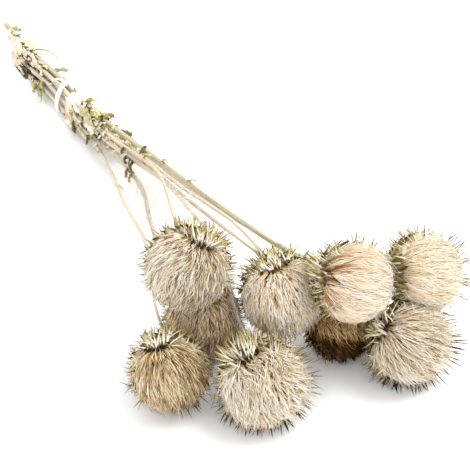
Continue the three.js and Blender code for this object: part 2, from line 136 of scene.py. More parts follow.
# Each head's place, the way its mouth faces, the whorl where its down parts, the way that its ring
# of bracts faces, its size and its bracts' reach, then its stem: row and place in the tie, cut end,
# radius under the head, and points on the way. Then its down:
# tone: how pale it is, 0 to 1. contrast: how much its locks differ. wave: how far strands waver, in
# mm. length: a lock's arc, in radians. lift: how far the tips stand off. spread: how loosely a
# lock's strands lie, in mm. mess: how far locks stray from the way they are combed. parting: how
# far round the bare crown reaches, in radians. streak: how brown the roots of some locks are, and
# fade: how far from the parting, in radians. fingers: how many times round the parting they come,
# where they come evenly. under: how much painted shade darkens the underside. palette: its colours.
HEADS = [
    Head(at=(196, -35, 50), mouth=(0.75, -0.6, 0.2), whorl=(0.38, 0.15, 0.91),
         ring=(0.68, -0.44, 0.58), size=1.0, fringe=1.14, row=2, place=-0.5, cut=-70, slim=0.75,
         via=[(66, -1.6, 19.5), (84, -1.4, 23.5), (105, -1.2, 28.5), (124, -6, 33), (146, -15, 40),
              (164, -21.5, 45)],
         tone=0.64, contrast=0.2, wave=0.5, length=0.66, lift=0.06, spread=0.8, mess=0.2,
         parting=0.5, streak=0.2, palette="cream"),
    Head(at=(197, -29, 17), mouth=(0.82, -0.5, 0.15), whorl=(0.16, -0.1, 0.98),
         ring=(0.72, -0.42, 0.55), size=0.96, fringe=1.13, row=0, place=-0.5, cut=-62, slim=0.85,
         via=[(62, -1.5, 8.2), (85, -2.5, 10), (100, -5, 11.5), (122, -13.5, 13),
              (141, -19.5, 13.5), (165, -20.5, 14.2)],
         tone=0.80, contrast=0.26, wave=0.45, length=0.62, lift=0.06, spread=0.8, mess=0.15,
         parting=0.5, streak=0.2, palette="rust"),
    Head(at=(216, -57, 17.5), mouth=(0.86, -0.48, 0.12), whorl=(-0.02, -0.32, 0.95),
         ring=(0.72, -0.46, 0.52), size=0.93, fringe=1.15, row=0, place=-1.5, cut=-52, slim=0.8,
         via=[(46, -5.2, 7.5), (65, -8.6, 9.2), (91, -14.4, 11.4), (111, -19.2, 12.5),
              (131, -22.5, 13), (145, -27, 13.5), (163, -35.5, 14), (180, -43, 15)],
         tone=0.58, contrast=0.16, wave=0.2, length=0.70, lift=0.07, spread=0.65, mess=0.08,
         parting=0.42, streak=0.15, palette="tan"),
    Head(at=(243, -28, 18.5), mouth=(0.93, -0.28, 0.06), whorl=(-0.05, -0.42, 0.91),
         ring=(0.78, -0.36, 0.50), size=1.04, fringe=1.24, row=1, place=-1, cut=-60, slim=1.0,
         via=[(60, -2.2, 14), (92, 0.5, 18.5), (115, 1, 23), (143, -2.5, 28), (163, -6, 32.5),
              (185, -12.5, 34), (203, -18, 31), (216, -21, 23.5)],
         tone=0.72, contrast=0.10, wave=0.6, length=0.55, lift=0.08, spread=0.75, mess=0.5,
         parting=0.42, streak=0.15, palette="cream"),
    Head(at=(217, -1, 34), mouth=(0.95, -0.3, 0.1), whorl=(0.07, -0.22, 0.97),
         ring=(0.76, -0.36, 0.53), size=1.0, fringe=1.16, row=1, place=0, cut=-66, slim=0.85,
         via=[(55, 3, 12.5), (88, 6.2, 16.5), (117, 7, 20.5), (141, 8.7, 25), (162, 9.5, 29),
              (185, 7.5, 32)],
         tone=0.87, contrast=0.15, wave=0.5, length=0.60, lift=0.08, spread=0.65, mess=0.15,
         parting=0.5, streak=0.15, palette="peach"),
    Head(at=(238, 20, 47), mouth=(0.88, 0.3, 0.2), whorl=(-0.11, -0.87, 0.47),
         ring=(0.78, -0.10, 0.60), size=0.97, fringe=1.2, row=2, place=0.5, cut=-84, slim=1.3,
         via=[(64, 3.2, 20.5), (106, 4.6, 27.5), (148, 4.9, 35.5), (173, 6, 40), (194, 8, 43)],
         tone=0.81, contrast=0.035, wave=0.12, length=1.15, lift=0.015, spread=1.6, mess=0.05,
         parting=0.4, streak=1.25, fade=0.36, fingers=14, palette="silk"),
    Head(at=(231, 21, 16.5), mouth=(0.95, -0.1, 0.15), whorl=(0.07, -0.52, 0.85),
         ring=(0.82, -0.26, 0.50), size=0.9, fringe=1.14, row=0, place=0.5, cut=-48, slim=0.9,
         via=[(68, 6, 8.2), (90, 8.6, 9), (128, 12.2, 10.5), (151, 15, 11.5), (182, 19, 13)],
         tone=0.58, contrast=0.15, wave=0.5, length=0.58, lift=0.07, spread=0.8, mess=0.3,
         parting=0.5, streak=0.2, under=0.6, palette="rust"),
    Head(at=(242, 56, 37), mouth=(0.76, 0.58, 0.25), whorl=(-0.02, -0.88, 0.48),
         ring=(0.74, -0.02, 0.66), size=0.98, fringe=1.24, row=1, place=1, cut=-58, slim=1.1,
         via=[(50, 7.8, 11.3), (72, 9.8, 12.5), (93, 11.4, 14.5), (132, 14.4, 18.5),
              (157, 16.4, 22.5), (192, 20.8, 28), (212, 29, 31)],
         tone=0.85, contrast=0.045, wave=0.25, length=0.85, lift=0.03, spread=1.3, mess=0.1,
         parting=0.42, streak=0.3, palette="peach"),
    Head(at=(257, 38, 18), mouth=(0.98, -0.05, 0.12), whorl=(-0.05, -0.75, 0.66),
         ring=(0.82, -0.26, 0.52), size=1.02, fringe=1.22, row=0, place=1.5, cut=-55, slim=0.9,
         via=[(67, 11.5, 8), (88, 14, 8.8), (126, 19, 10.5), (149, 23, 12), (182, 31, 13.5),
              (208, 37, 14.5)],
         tone=0.66, contrast=0.14, wave=0.2, length=0.72, lift=0.07, spread=0.6, mess=0.08,
         parting=0.42, streak=0.2, palette="cream"),
]

# Dried leaves and scales on the stems: stem, place along X, lean round the stem in degrees
# (0 up, 90 towards -Y), length, width and how pale each is.
LEAVES = [
    (8, -24, -50, 13, 2.4, 0.76), (6, -50, 10, 7, 2.6, 0.88), (6, -68, -30, 7, 2.4, 0.90),
    (3, -14, 95, 9, 3.4, 0.48), (3, -23, 85, 9, 3.0, 0.50), (4, -18, 100, 8, 3.0, 0.55),
    (6, 22, -25, 9, 3.6, 0.60), (6, 40, -10, 8, 3.2, 0.52), (1, 30, 20, 9, 3.0, 0.54),
    (1, 49, 45, 7, 2.6, 0.66), (8, 33, -65, 8, 3.2, 0.50), (8, 52, -75, 7, 2.8, 0.62),
    (3, 24, 95, 8, 3.0, 0.22), (3, 41, 80, 7, 2.6, 0.26), (4, 84, 100, 10, 1.7, 0.24),
    (4, 81, 92, 9, 1.4, 0.34), (4, 77, 80, 10, 1.6, 0.18), (2, 80, 60, 9, 1.7, 0.28),
    (2, 85, 74, 8, 1.4, 0.40), (1, 76, 90, 8, 1.7, 0.20),
    (6, 104, -15, 6, 2.2, 0.80), (6, 128, -30, 6, 2.0, 0.80), (6, 86, 40, 6, 2.2, 0.22),
]

# Broad scraps that lie close along the stems, as LEAVES.
SHEATHS = [
    (1, -66, 40, 20, 4.6, 0.87), (1, -48, 60, 18, 4.2, 0.88), (4, -58, 70, 17, 4.4, 0.86),
    (2, -58, 80, 16, 4.4, 0.90), (3, -42, 80, 8, 3.8, 0.13), (4, -40, 50, 7, 3.4, 0.10),
    (1, -43, 60, 7, 3.4, 0.15), (3, -50, 95, 14, 4.0, 0.86), (6, -62, -10, 20, 3.8, 0.70),
    (1, 9, 20, 26, 4.2, 0.95), (6, 9, 0, 24, 4.0, 0.93), (4, 10, 60, 24, 4.0, 0.80),
    (3, 12, 85, 18, 3.6, 0.92), (1, 28, 60, 18, 3.8, 0.66), (6, 30, 20, 18, 3.8, 0.60),
    (4, 32, 80, 16, 3.6, 0.95), (3, 30, 100, 14, 3.4, 0.78), (2, 34, 80, 14, 3.4, 0.90),
    (5, 26, 20, 20, 3.8, 0.96),
]

# Thin leaves that stand a little way off the bundle, as LEAVES.
LOOSE_LEAVES = [(8, -52, -48, 27, 1.6, 0.72), (8, -50, -40, 12, 1.3, 0.80)]

# The leaf tables, with each one's points along a leaf, how far its leaves stand off the stem, how
# crumpled they are and half their thickness in mm.
LEAF_SETS = [(LEAVES, 8, 0.5, 0.35, 0.13), (SHEATHS, 9, 0.03, 0.3, 0.12),
             (LOOSE_LEAVES, 10, 0.3, 0.15, 0.12)]

# Sprays of bracts round each head's outline as the photo shows it: from and to in degrees
# (0 right, 90 up), how many, least and most height over the down in mm, half width, tone.
SPRAYS = {
    1: [(62, 118, 18, 2.5, 5.0, 0.40, 0.75), (112, 215, 44, 2.2, 4.4, 0.22, 0.42),
        (-45, 62, 34, 2.2, 4.8, 0.28, 0.5)],
    2: [(160, 200, 6, 2.0, 4.0, 0.16, 0.14), (-65, -5, 16, 2.0, 4.5, 0.20, 0.08)],
    3: [(95, 175, 18, 1.5, 3.5, 0.17, 0.12), (25, 95, 14, 1.0, 3.0, 0.30, 0.6),
        (190, 235, 10, 1.0, 5.5, 0.24, 0.10), (280, 335, 14, 1.5, 6.5, 0.26, 0.08)],
    4: [(35, 145, 36, 1.5, 5.0, 0.34, 0.75), (145, 205, 14, 1.0, 3.0, 0.26, 0.65),
        (-45, 35, 26, 4.0, 8.5, 0.24, 0.14), (212, 320, 46, 1.0, 6.5, 0.38, 0.04)],
    5: [(50, 150, 28, 2.5, 6.0, 0.34, 0.75), (0, 50, 16, 2.5, 5.5, 0.28, 0.75),
        (150, 230, 20, 0.5, 2.5, 0.32, 0.1), (230, 335, 30, 1.5, 4.0, 0.34, 0.1)],
    6: [(135, 235, 36, 2.0, 6.0, 0.30, 0.75), (50, 135, 24, 2.5, 5.0, 0.15, 0.15),
        (235, 290, 16, 1.0, 3.5, 0.20, 0.65)],
    7: [(195, 335, 44, 1.0, 2.8, 0.60, 0.02), (130, 195, 10, 1.0, 3.0, 0.20, 0.14)],
    8: [(110, 205, 28, 2.0, 5.5, 0.30, 0.7), (55, 110, 14, 2.5, 5.5, 0.26, 0.4),
        (-35, 55, 34, 5.0, 9.5, 0.24, 0.14)],
    9: [(120, 200, 22, 1.5, 3.5, 0.26, 0.12), (-60, 45, 34, 5.0, 9.5, 0.27, 0.12),
        (235, 300, 36, 1.0, 6.0, 0.42, 0.03), (200, 235, 12, 1.0, 5.0, 0.30, 0.3)],
}


def unit(v):
    v = np.asarray(v, float)
    return v / np.maximum(np.linalg.norm(v, axis=-1, keepdims=True), 1e-9)


def run_of(line):
    """How far along a line of points each one is."""
    return np.concatenate([[0], np.cumsum(np.linalg.norm(np.diff(line, axis=0), axis=1))])


def read_at(at, run, table):
    """The rows of `table`, known at `run`, as they are at each of `at`."""
    return np.stack([np.interp(at, run, column) for column in table.T], 1)


for number, head in enumerate(HEADS, 1):
    head.number = number
    head.centre = np.array(head.at, float)
    head.mouth, head.whorl, head.ring = unit(head.mouth), unit(head.whorl), unit(head.ring)
    head.to_mouth = unit(head.mouth - (head.mouth @ head.whorl) * head.whorl)
    bare = head.parting
    head.pole = head.whorl * math.cos(bare) - head.to_mouth * math.sin(bare)
    head.down = PAPPUS_RADIUS * head.size
    head.reach = head.down * head.fringe
    head.spare = head.reach - head.down

# ---------- Stem lines ----------

CURVE_STEPS = 40  # fine steps between two given points of a curve
# Points along a stem's tail, its straight part in the tie and its front, and how many of the
# solid stem's spans each of them takes.
TAIL_STEPS, TIE_STEPS, FRONT_STEPS = 33, 7, 97
TAIL_SPANS, TIE_SPANS, FRONT_SPANS = 4, 1, 12


def curve_through(points, count):
    """Evenly spaced points on the centripetal Catmull-Rom curve through `points`."""
    p = np.array(points, float)
    p = np.vstack([2 * p[0] - p[1], p, 2 * p[-1] - p[-2]])
    fine = []
    for i in range(1, len(p) - 2):
        p0, p1, p2, p3 = p[i - 1:i + 3]
        d0, d1, d2 = (np.linalg.norm(b - a) ** 0.5 for a, b in ((p0, p1), (p1, p2), (p2, p3)))
        t1 = ((p1 - p0) / d0 - (p2 - p0) / (d0 + d1) + (p2 - p1) / d1) * d1
        t2 = ((p2 - p1) / d1 - (p3 - p1) / (d1 + d2) + (p3 - p2) / d2) * d1
        s = np.linspace(0, 1, CURVE_STEPS, endpoint=False)[:, None]
        fine.append(p1 + t1 * s + (3 * (p2 - p1) - 2 * t1 - t2) * s**2
                    + (2 * (p1 - p2) + t1 + t2) * s**3)
    fine = np.vstack(fine + [p[-2:-1]])
    run = run_of(fine)
    return read_at(np.linspace(0, run[-1], count), run, fine)


def slot_of(head):
    """A stem's place in the middle of the tie."""
    return np.array([0, BUNDLE_SIDE + head.place * STEM_PITCH,
                     BUNDLE_BASE + head.row * STEM_ROW])


def stem_line(head):
    """The stem's centre line, and how far along the solid stem each point is, from 0 to 1."""
    slot = slot_of(head)
    low = slot[2] - BUNDLE_BASE + TAIL_BASE
    back = head.centre - head.mouth * ((CUP_OFFSET + CUP_RADIUS) * head.size + STEM_GAP)
    side = BUNDLE_SIDE + (slot[1] - BUNDLE_SIDE) * TAIL_FAN

    def in_tie(x):
        return slot + [x, 0, 0]

    tail = curve_through([(head.cut, side, low), (head.cut * 0.6, side, low),
                          in_tie(-1.8 * TIE_HALF), in_tie(-TIE_HALF)], TAIL_STEPS)
    middle = [in_tie(x) for x in np.linspace(-TIE_HALF, TIE_HALF, TIE_STEPS)[1:-1]]
    front = curve_through([in_tie(TIE_HALF), in_tie(1.6 * TIE_HALF), *head.via, back],
                          FRONT_STEPS)
    tied = TAIL_SPANS + TIE_SPANS
    share = np.concatenate([np.linspace(0, TAIL_SPANS, TAIL_STEPS),
                            np.linspace(TAIL_SPANS, tied, TIE_STEPS)[1:-1],
                            np.linspace(tied, tied + FRONT_SPANS, FRONT_STEPS)])
    return np.vstack([tail, middle, front]), share / share[-1]


for head in HEADS:
    head.line, share = stem_line(head)
    head.radius = STEM_RADIUS_CUT + (head.slim - STEM_RADIUS_CUT) * share**STEM_TAPER

# ---------- Room that each head has ----------

BOX_LOW, BOX_HIGH = (np.array(corner) / MM - SHIFT + spare
                     for corner, spare in zip(cad_box, (-BOX_SPARE, BOX_SPARE)))
BATCH = 20000  # points that are set off the stems at a time


def lifted(points, least):
    """Raises points that are lower than `least` over the table."""
    points[..., 2] = np.maximum(points[..., 2], least)
    return points


def walls_of(head):
    """Planes (point, normal) that part a head from the table and from its neighbours."""
    walls = [(np.zeros(3), np.array([0, 0, -1.0]))]
    for other in HEADS:
        way = other.centre - head.centre
        apart = np.linalg.norm(way)
        if other is head or apart > head.reach + other.reach:
            continue
        share = head.down / (head.down + other.down)
        walls.append((head.centre + way * share, way / apart))
    return walls


def kept_inside(points, head, clear):
    """Moves points back inside the head's walls, so that they stay `clear` of each, which is one
    number or one for each line of points. None goes under the table."""
    points = points.copy()
    for point, normal in head.walls:
        over = (points - point) @ normal + (CLEAR if normal[2] == -1 else clear)
        points -= np.maximum(over, 0)[..., None] * normal
    return points


def off_stems(points, head, clear):
    """Moves points sideways off every stem that passes near the head."""
    flat = points.reshape(-1, 3).copy()
    for other in HEADS:
        line, radius = other.line, other.radius
        near = np.linalg.norm(line - head.centre, axis=1) < head.reach + 6
        if not near.any():
            continue
        line, radius = line[near], radius[near]
        for start in range(0, len(flat), BATCH):
            part = flat[start:start + BATCH]
            gap = part[:, None, :] - line[None]
            far = np.linalg.norm(gap, axis=2)
            nearest = far.argmin(1)
            rows = np.arange(len(part))
            close = far[rows, nearest]
            room = radius[nearest] + clear
            push = np.maximum(room - close, 0) / np.maximum(close, 1e-6)
            part += gap[rows, nearest] * push[:, None]
    return flat.reshape(points.shape)


def settled(lines, head, wall, stem, table):
    """Moves lines inside the head's walls and the box, off the stems and over the table."""
    lines = off_stems(kept_inside(lines, head, wall), head, stem)
    return lifted(np.clip(lines, BOX_LOW, BOX_HIGH), table)


for head in HEADS:
    head.walls = walls_of(head)

# ---------- Meshes ----------

MAP_EDGES = 0.002, 0.998
BALL_SPOT = 0.004  # how far a ball reaches on the map, where it takes one tone


class Heap:
    """Gathers closed shapes with a place for each face corner on the "OFBake" map."""

    def __init__(self):
        self.verts, self.parts, self.count = [], [], 0

    def add(self, verts, *parts):
        """Each part is (faces, their corners' map places)."""
        self.parts += [(faces + self.count, places) for faces, places in parts]
        self.verts.append(verts)
        self.count += len(verts)


def make_piece(name, heap, material, slot, *nodes):
    """Makes the gathered shapes one piece, in the part's frame and in metres."""
    verts = (lifted(np.concatenate(heap.verts), FLOOR_CLEAR) + SHIFT) * MM
    parts = sorted(heap.parts, key=lambda part: part[0].shape[1])  # triangles first
    loops = np.concatenate([faces.ravel() for faces, _ in parts])
    places = np.concatenate([spots.ravel() for _, spots in parts])
    sizes = np.concatenate([np.full(len(faces), faces.shape[1]) for faces, _ in parts])
    mesh = bpy.data.meshes.new(name)
    mesh.vertices.add(len(verts))
    mesh.vertices.foreach_set("co", verts.ravel().astype(np.float32))
    mesh.loops.add(len(loops))
    mesh.loops.foreach_set("vertex_index", loops.astype(np.int32))
    mesh.polygons.add(len(sizes))
    mesh.polygons.foreach_set("loop_start", (np.cumsum(sizes) - sizes).astype(np.int32))
    mesh.polygons.foreach_set("use_smooth", np.ones(len(sizes), bool))
    mesh.uv_layers.new(name="OFBake").uv.foreach_set("vector", places.astype(np.float32))
    mesh.update(calc_edges=True)
    mesh.validate()
    mesh.materials.append(material)
    piece = bpy.data.objects.new(name, mesh)
    bpy.context.scene.collection.objects.link(piece)
    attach(piece, "root")
    if nodes:
        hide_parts(*nodes)


def ring_quads(rings, corners):
    """The quads between neighbouring rings of corners, one row for each pair of rings."""
    k = np.arange(corners)
    n = (k + 1) % corners
    ring = np.arange(rings - 1)[:, None] * corners
    return np.stack([ring + k, ring + n, ring + corners + n, ring + corners + k], 2)


def add_rods(heap, lines, side, wide, thick, sides, tone, width, root=0.0):
    """Closed pointed rods along `lines` (rods, points, 3). Each ring is an ellipse, `wide` along
    `side` and `thick` through it. On the map, across is the tone and up is `root` to tip."""
    count, steps = lines.shape[:2]
    along = unit(np.gradient(lines, axis=1))
    side = np.broadcast_to(side if side.ndim == 3 else side[:, None], lines.shape)
    side = unit(side - (side * along).sum(2, keepdims=True) * along)
    through = np.cross(along, side)
    turn = np.arange(sides) * 2 * math.pi / sides
    rings = (lines[:, :-1, None]
             + side[:, :-1, None] * (wide[:, :-1, None, None] * np.cos(turn)[:, None])
             + through[:, :-1, None] * (thick[:, :-1, None, None] * np.sin(turn)[:, None]))
    body = (steps - 1) * sides
    verts = np.concatenate([rings.reshape(count, body, 3), lines[:, -1:]], 1)
    up = np.linspace(root, 0.97, steps)[:-1, None] + np.zeros(sides)
    up[0] += 0.02 * (np.arange(sides) % 2)
    across = width * np.cos(turn) + np.zeros((steps - 1, 1))
    place = np.vstack([np.stack([across, up], 2).reshape(body, 2), [0.0, 1.0]])
    quads = ring_quads(steps - 1, sides).reshape(-1, 4)
    last = (steps - 2) * sides + np.arange(sides)
    tips = np.stack([last, np.roll(last, -1), np.full(sides, body)], 1)
    caps = np.array([[0, 2, 1]] if sides == 3 else [[0, 3, 2, 1]])
    offset = (np.arange(count) * (body + 1))[:, None, None]
    base = np.stack([tone, np.zeros(count)], 1)[:, None, None]
    parts = []
    for faces in (quads, tips, caps):
        spots = np.clip(place[faces][None] + base, *MAP_EDGES)
        parts.append(((faces[None] + offset).reshape(-1, faces.shape[1]),
                      spots.reshape(-1, faces.shape[1], 2)))
    heap.add(verts.reshape(-1, 3), *parts)


def ball_shape(detail):
    """An icosphere's corners and triangles."""
    bpy.ops.mesh.primitive_ico_sphere_add(subdivisions=detail, radius=1.0)
    made = bpy.context.object
    verts = np.array([v.co for v in made.data.vertices])
    faces = np.array([list(p.vertices) for p in made.data.polygons])
    mesh = made.data
    bpy.data.objects.remove(made)
    bpy.data.meshes.remove(mesh)
    return verts, faces


BALL_VERTS, BALL_FACES = ball_shape(4)
BEAD_VERTS, BEAD_FACES = ball_shape(2)


def add_ball(heap, verts, faces, tone, up):
    """A closed ball-like shape that takes one tone."""
    corner = np.array([[-BALL_SPOT, 0], [BALL_SPOT, 0], [0, BALL_SPOT]]) + [tone, up]
    heap.add(verts, (faces, np.broadcast_to(corner, (len(faces), 3, 2))))


# ---------- Directions round a head ----------

GOLDEN = 3 - math.sqrt(5)  # the golden angle, in half turns


def golden_directions(count, rng, jitter):
    """Evenly spread directions, each moved a little."""
    i = np.arange(count) + 0.5
    z = 1 - 2 * i / count
    a = i * math.pi * GOLDEN
    r = np.sqrt(1 - z * z)
    found = np.stack([r * np.cos(a), r * np.sin(a), z], 1)
    return unit(found + rng.normal(0, jitter, found.shape))


def axes_of(pole, towards):
    """A pole and two directions square to it, the first as near `towards` as it can be."""
    first = unit(towards - (towards @ pole) * pole)
    return pole, first, np.cross(pole, first)


def angles_from(axes, ways):
    """Each direction's angle from the pole, and round it."""
    pole, first, second = axes
    return np.arccos(np.clip(ways @ pole, -1, 1)), np.arctan2(ways @ second, ways @ first)


def ways_at(axes, tilt, turn):
    """Directions at these angles from the pole and round it."""
    pole, first, second = axes
    tilt, turn = tilt[..., None], turn[..., None]
    return np.cos(tilt) * pole + np.sin(tilt) * (np.cos(turn) * first + np.sin(turn) * second)


def smooth_step(a, b, x):
    t = np.clip((x - a) / (b - a), 0, 1)
    return t * t * (3 - 2 * t)


for head in HEADS:
    head.combed = axes_of(head.pole, head.mouth)  # the down is combed away from the first
    head.rim = axes_of(head.ring, head.whorl)

# ---------- Down ----------

DOWN_OPEN = 1.72  # the down covers this angle round the mouth
STRAND_STEPS = np.array([0, 0.25, 0.5, 0.76, 1.0])
RISE = np.array([0.0, 0.72, 0.93, 1.0, 1.0])  # how a strand climbs from its root to the surface
STRAND_SHAPE = np.array([0.9, 1.0, 0.95, 0.68, 0.0])  # its thickness on the way
EDGE_LOCKS = 0.3  # locks this near to the parting start at any height, so that they bridge it
FINGER_CONTRAST = 1.7  # how clearly the brown fingers stand out from what is between them
BROWN_FROM = 0.3  # locks whose clump is over this have brown roots


def drift(ways, seed, pitch):
    """A smooth field from -1 to 1 over a head, the same for every layer."""
    rng = np.random.default_rng(seed)
    turns = rng.normal(0, pitch, (3, 5))
    return np.sin(ways @ turns + rng.uniform(0, 2 * math.pi, 5)).mean(-1) * 1.8


def add_locks(heap, head, rng, tone, locks, each, over, thick, loose, lift, tangle):
    """Locks of strands combed away from the bare crown. `over` is how high they lie, in shares of
    the down's radius; `loose` is how far a strand's tip strays from its lock's, in mm; `tangle` is
    how far some strands reach among a neighbour's, in mm."""
    ways = golden_directions(locks, rng, 0.03)
    ways = ways[np.arccos(np.clip(ways @ head.mouth, -1, 1)) < DOWN_OPEN]
    tilt, turn = angles_from(head.combed, ways)
    edge = head.parting + rng.normal(0, 0.04, len(tilt))
    kept = tilt > edge
    ways, tilt, turn, edge = ways[kept], tilt[kept], turn[kept], edge[kept]
    count = len(tilt)
    arc = head.length * rng.uniform(0.75, 1.15, count)
    arc *= 0.6 + 0.4 * smooth_step(0.0, 0.7, tilt - edge)
    start = np.maximum(tilt - 0.55 * arc, edge - 0.04)
    tip_beyond = np.arccos(np.clip(ways_at(head.combed, start + arc, turn) @ head.mouth, -1, 1))
    arc *= 1 - 0.6 * smooth_step(DOWN_OPEN, DOWN_OPEN + 0.5, tip_beyond)
    patch = drift(ways, 7 * head.number, 3.0)
    lock_tone = tone + (0.4 * head.contrast + 0.02) * patch
    lock_tone += rng.normal(0, 0.6 * head.contrast, count)
    clump = drift(ways, 53 * head.number, 5.0)
    if head.fingers:
        clump = FINGER_CONTRAST * np.sin(head.fingers * turn)
    brown = clump + rng.normal(0, 0.5, count) > BROWN_FROM
    lock_tone -= head.streak * brown * np.exp(-(tilt - edge) / head.fade)
    # Painted shade: darker from the middle downwards, in full on the lower half, for the shade
    # under the head.
    lock_tone -= head.under * smooth_step(-0.5, 0.05, -ways[:, 2])
    lock_high = over * (1 + rng.normal(0, 0.02, count))
    bend = rng.normal(0, 0.10 + 0.3 * head.mess, count)
    bend += 1.1 * head.mess * drift(ways, 31 * head.number, 4.0)

    # From here on, one row for each strand.
    def spread(a):
        return np.repeat(a, each)[:, None]

    rows = count * each, 1
    s = STRAND_STEPS[None]
    start, turn, arc = spread(start), spread(turn), spread(arc) * rng.uniform(0.8, 1.1, rows)
    rise = head.down * spread(lock_high)
    lean = spread(bend) + rng.normal(0, 0.07, rows)
    tilts = start + arc * s
    turns = turn + lean * arc * s**2 / np.maximum(np.sin(tilts), 0.35)
    out = ways_at(head.combed, tilts, turns)
    across = unit(np.cross(out, ways_at(head.combed, tilts + 0.01, turns) - out))
    down_way = np.cross(across, out)
    loft = lift * head.lift * head.down * spread(rng.uniform(0.0, 1.3, count))
    loft *= rng.uniform(0.6, 1.3, rows) * (1 + 1.2 * smooth_step(1.5, 2.2, tilts[:, -1:]))
    low = head.down * (CORE_SHARE - 0.03)
    rooted = spread(np.where(tilt - edge < EDGE_LOCKS, rng.uniform(0.3, 0.95, count), 0.0))
    high = low + (rise - low) * np.maximum(RISE, rooted) + loft * np.maximum(s - 0.55, 0) * 2.2
    gather = 1 - 0.85 * s**1.3  # strands come together towards the tip
    width = head.spread * rng.normal(0, 0.75, rows)
    depth = head.spread * rng.normal(0, 0.45, rows)
    stray = loose * rng.normal(0, 1, rows)
    wave = head.wave * rng.uniform(0.3, 1.3, rows)
    beats, phase = rng.uniform(0.7, 1.9, rows), rng.uniform(0, 2 * math.pi, rows)
    swing = wave * np.sin(2 * math.pi * beats * s + phase) * (0.25 + s)
    sideways = width * gather + stray * s**1.5 + swing
    lines = (head.centre + out * high[..., None]
             + across * sideways[..., None] + down_way * (depth * gather)[..., None])
    lines = settled(lines, head, CLEAR - tangle * rng.random(rows) ** 2, 0.4, 0.35)
    size = thick * rng.uniform(0.7, 1.25, rows) * STRAND_SHAPE
    shade = spread(lock_tone) + rng.normal(0, 0.9 * head.contrast + 0.015, rows)
    add_rods(heap, lines, across, size, size, 3, np.clip(shade[:, 0], 0.03, 0.97), 0.012)


SHADE_BEADS = 5  # dark beads of painted shade for the hollows along the parting
SHADE_BEAD_SPREAD = 0.5  # how far they spread to each side of its middle, in radii


def add_shade_beads(heap, head, rng):
    """Painted shade: dark beads in hollows between the first locks' roots, along the parting's
    front.
    """
    turn = np.linspace(-SHADE_BEAD_SPREAD, SHADE_BEAD_SPREAD, SHADE_BEADS) / math.sin(head.parting)
    turn += rng.normal(0, 0.2, SHADE_BEADS)
    ways = ways_at(head.combed, head.parting - rng.uniform(0.0, 0.07, SHADE_BEADS), turn)
    for way, size in zip(ways, rng.uniform(0.45, 0.9, SHADE_BEADS)):
        across = unit(np.cross(way, head.pole))
        along = np.cross(across, way)
        bead = (BEAD_VERTS[:, :1] * across * size + BEAD_VERTS[:, 1:2] * along * size * 1.5
                + BEAD_VERTS[:, 2:] * way * 0.8)
        # Nearly black, up the map near the root: painted shade, not a part of the head.
        add_ball(heap, head.centre + way * head.down * 0.90 + bead, BEAD_FACES, 0.04, 0.2)


def make_down(head):
    rng = np.random.default_rng(DOWN_SEED + head.number)
    heap = Heap()
    tone, contrast, share = head.tone, head.contrast, CORE_SHARE
    silky = contrast < SILKY_CONTRAST
    if silky:
        tilt = np.arccos(BALL_VERTS @ head.pole)[:, None]
        edge = head.parting
        share += (SILKY_CORE - CORE_SHARE) * smooth_step(edge, edge + 0.2, tilt)
    core = head.centre + BALL_VERTS * head.down * share
    core = off_stems(kept_inside(core, head, 2.2), head, 0.5)
    # Painted shade: on most heads the core is dark, for the depth seen between strands. On silky
    # heads it is near the down's own tone.
    add_ball(heap, core, BALL_FACES, tone - 0.05 if silky else 0.10, 0.75 if silky else 0.5)
    # Painted shade and highlight: the lowest layer of locks is darker, deep in the down, and the
    # top layers are paler.
    deep = 1.6 * contrast + 0.03
    tones = tone - deep, tone, tone + 0.9 * contrast, tone + 0.1
    for shade, layer in zip(tones, SILKY_LAYERS if silky else LAYERS):
        add_locks(heap, head, rng, shade, *layer)
    if head.whorl @ head.mouth > -0.2:
        add_shade_beads(heap, head, rng)
    return heap


# ---------- Bracts ----------

BRACT_STEPS = np.linspace(0, 1, 7)
BRACT_SHAPE = np.array([0.6, 0.85, 1.0, 1.0, 0.85, 0.56, 0.0])  # its width on the way
BRACT_WIDTH = 0.05  # how much of the map's tones one bract takes up


def add_blades(heap, head, roots, tips, low, high, wide, tone, curl, root=0.0):
    """Narrow blades from root directions to tip directions, rising from `low` to `high`, which are
    distances from the head's middle. `curl` bends the last third sideways, in mm."""
    s = BRACT_STEPS[None, :, None]
    ways = unit(roots[:, None] * (1 - s) + tips[:, None] * s)
    climb = low[:, None] + (high - low)[:, None] * (0.55 * BRACT_STEPS + 0.45 * BRACT_STEPS**2.4)
    lines = head.centre + ways * climb[..., None]
    across = unit(np.cross(ways, np.broadcast_to((tips - roots)[:, None], ways.shape) + 1e-6))
    hook = np.maximum(BRACT_STEPS - 0.55, 0)[None] ** 1.5
    lines = lines + across * (curl[:, None] * hook * 3.2)[..., None]
    lines = settled(lines, head, 0.5, 0.6, CLEAR)
    half = wide[:, None] * BRACT_SHAPE
    thick = half * 0.32 + 0.05 * (BRACT_SHAPE > 0)
    add_rods(heap, lines, across, half, thick, 4, tone, BRACT_WIDTH, root)


def spiral_turns(count, rng, jitter):
    return np.arange(count) * math.pi * GOLDEN + rng.normal(0, jitter, count)


def mixed_curls(rng, n, plain, share, strong):
    """How far bracts curl, in mm: a little, and much more for a `share` of them."""
    return rng.normal(0, plain, n) + np.where(rng.random(n) < share, rng.normal(0, strong, n), 0.0)


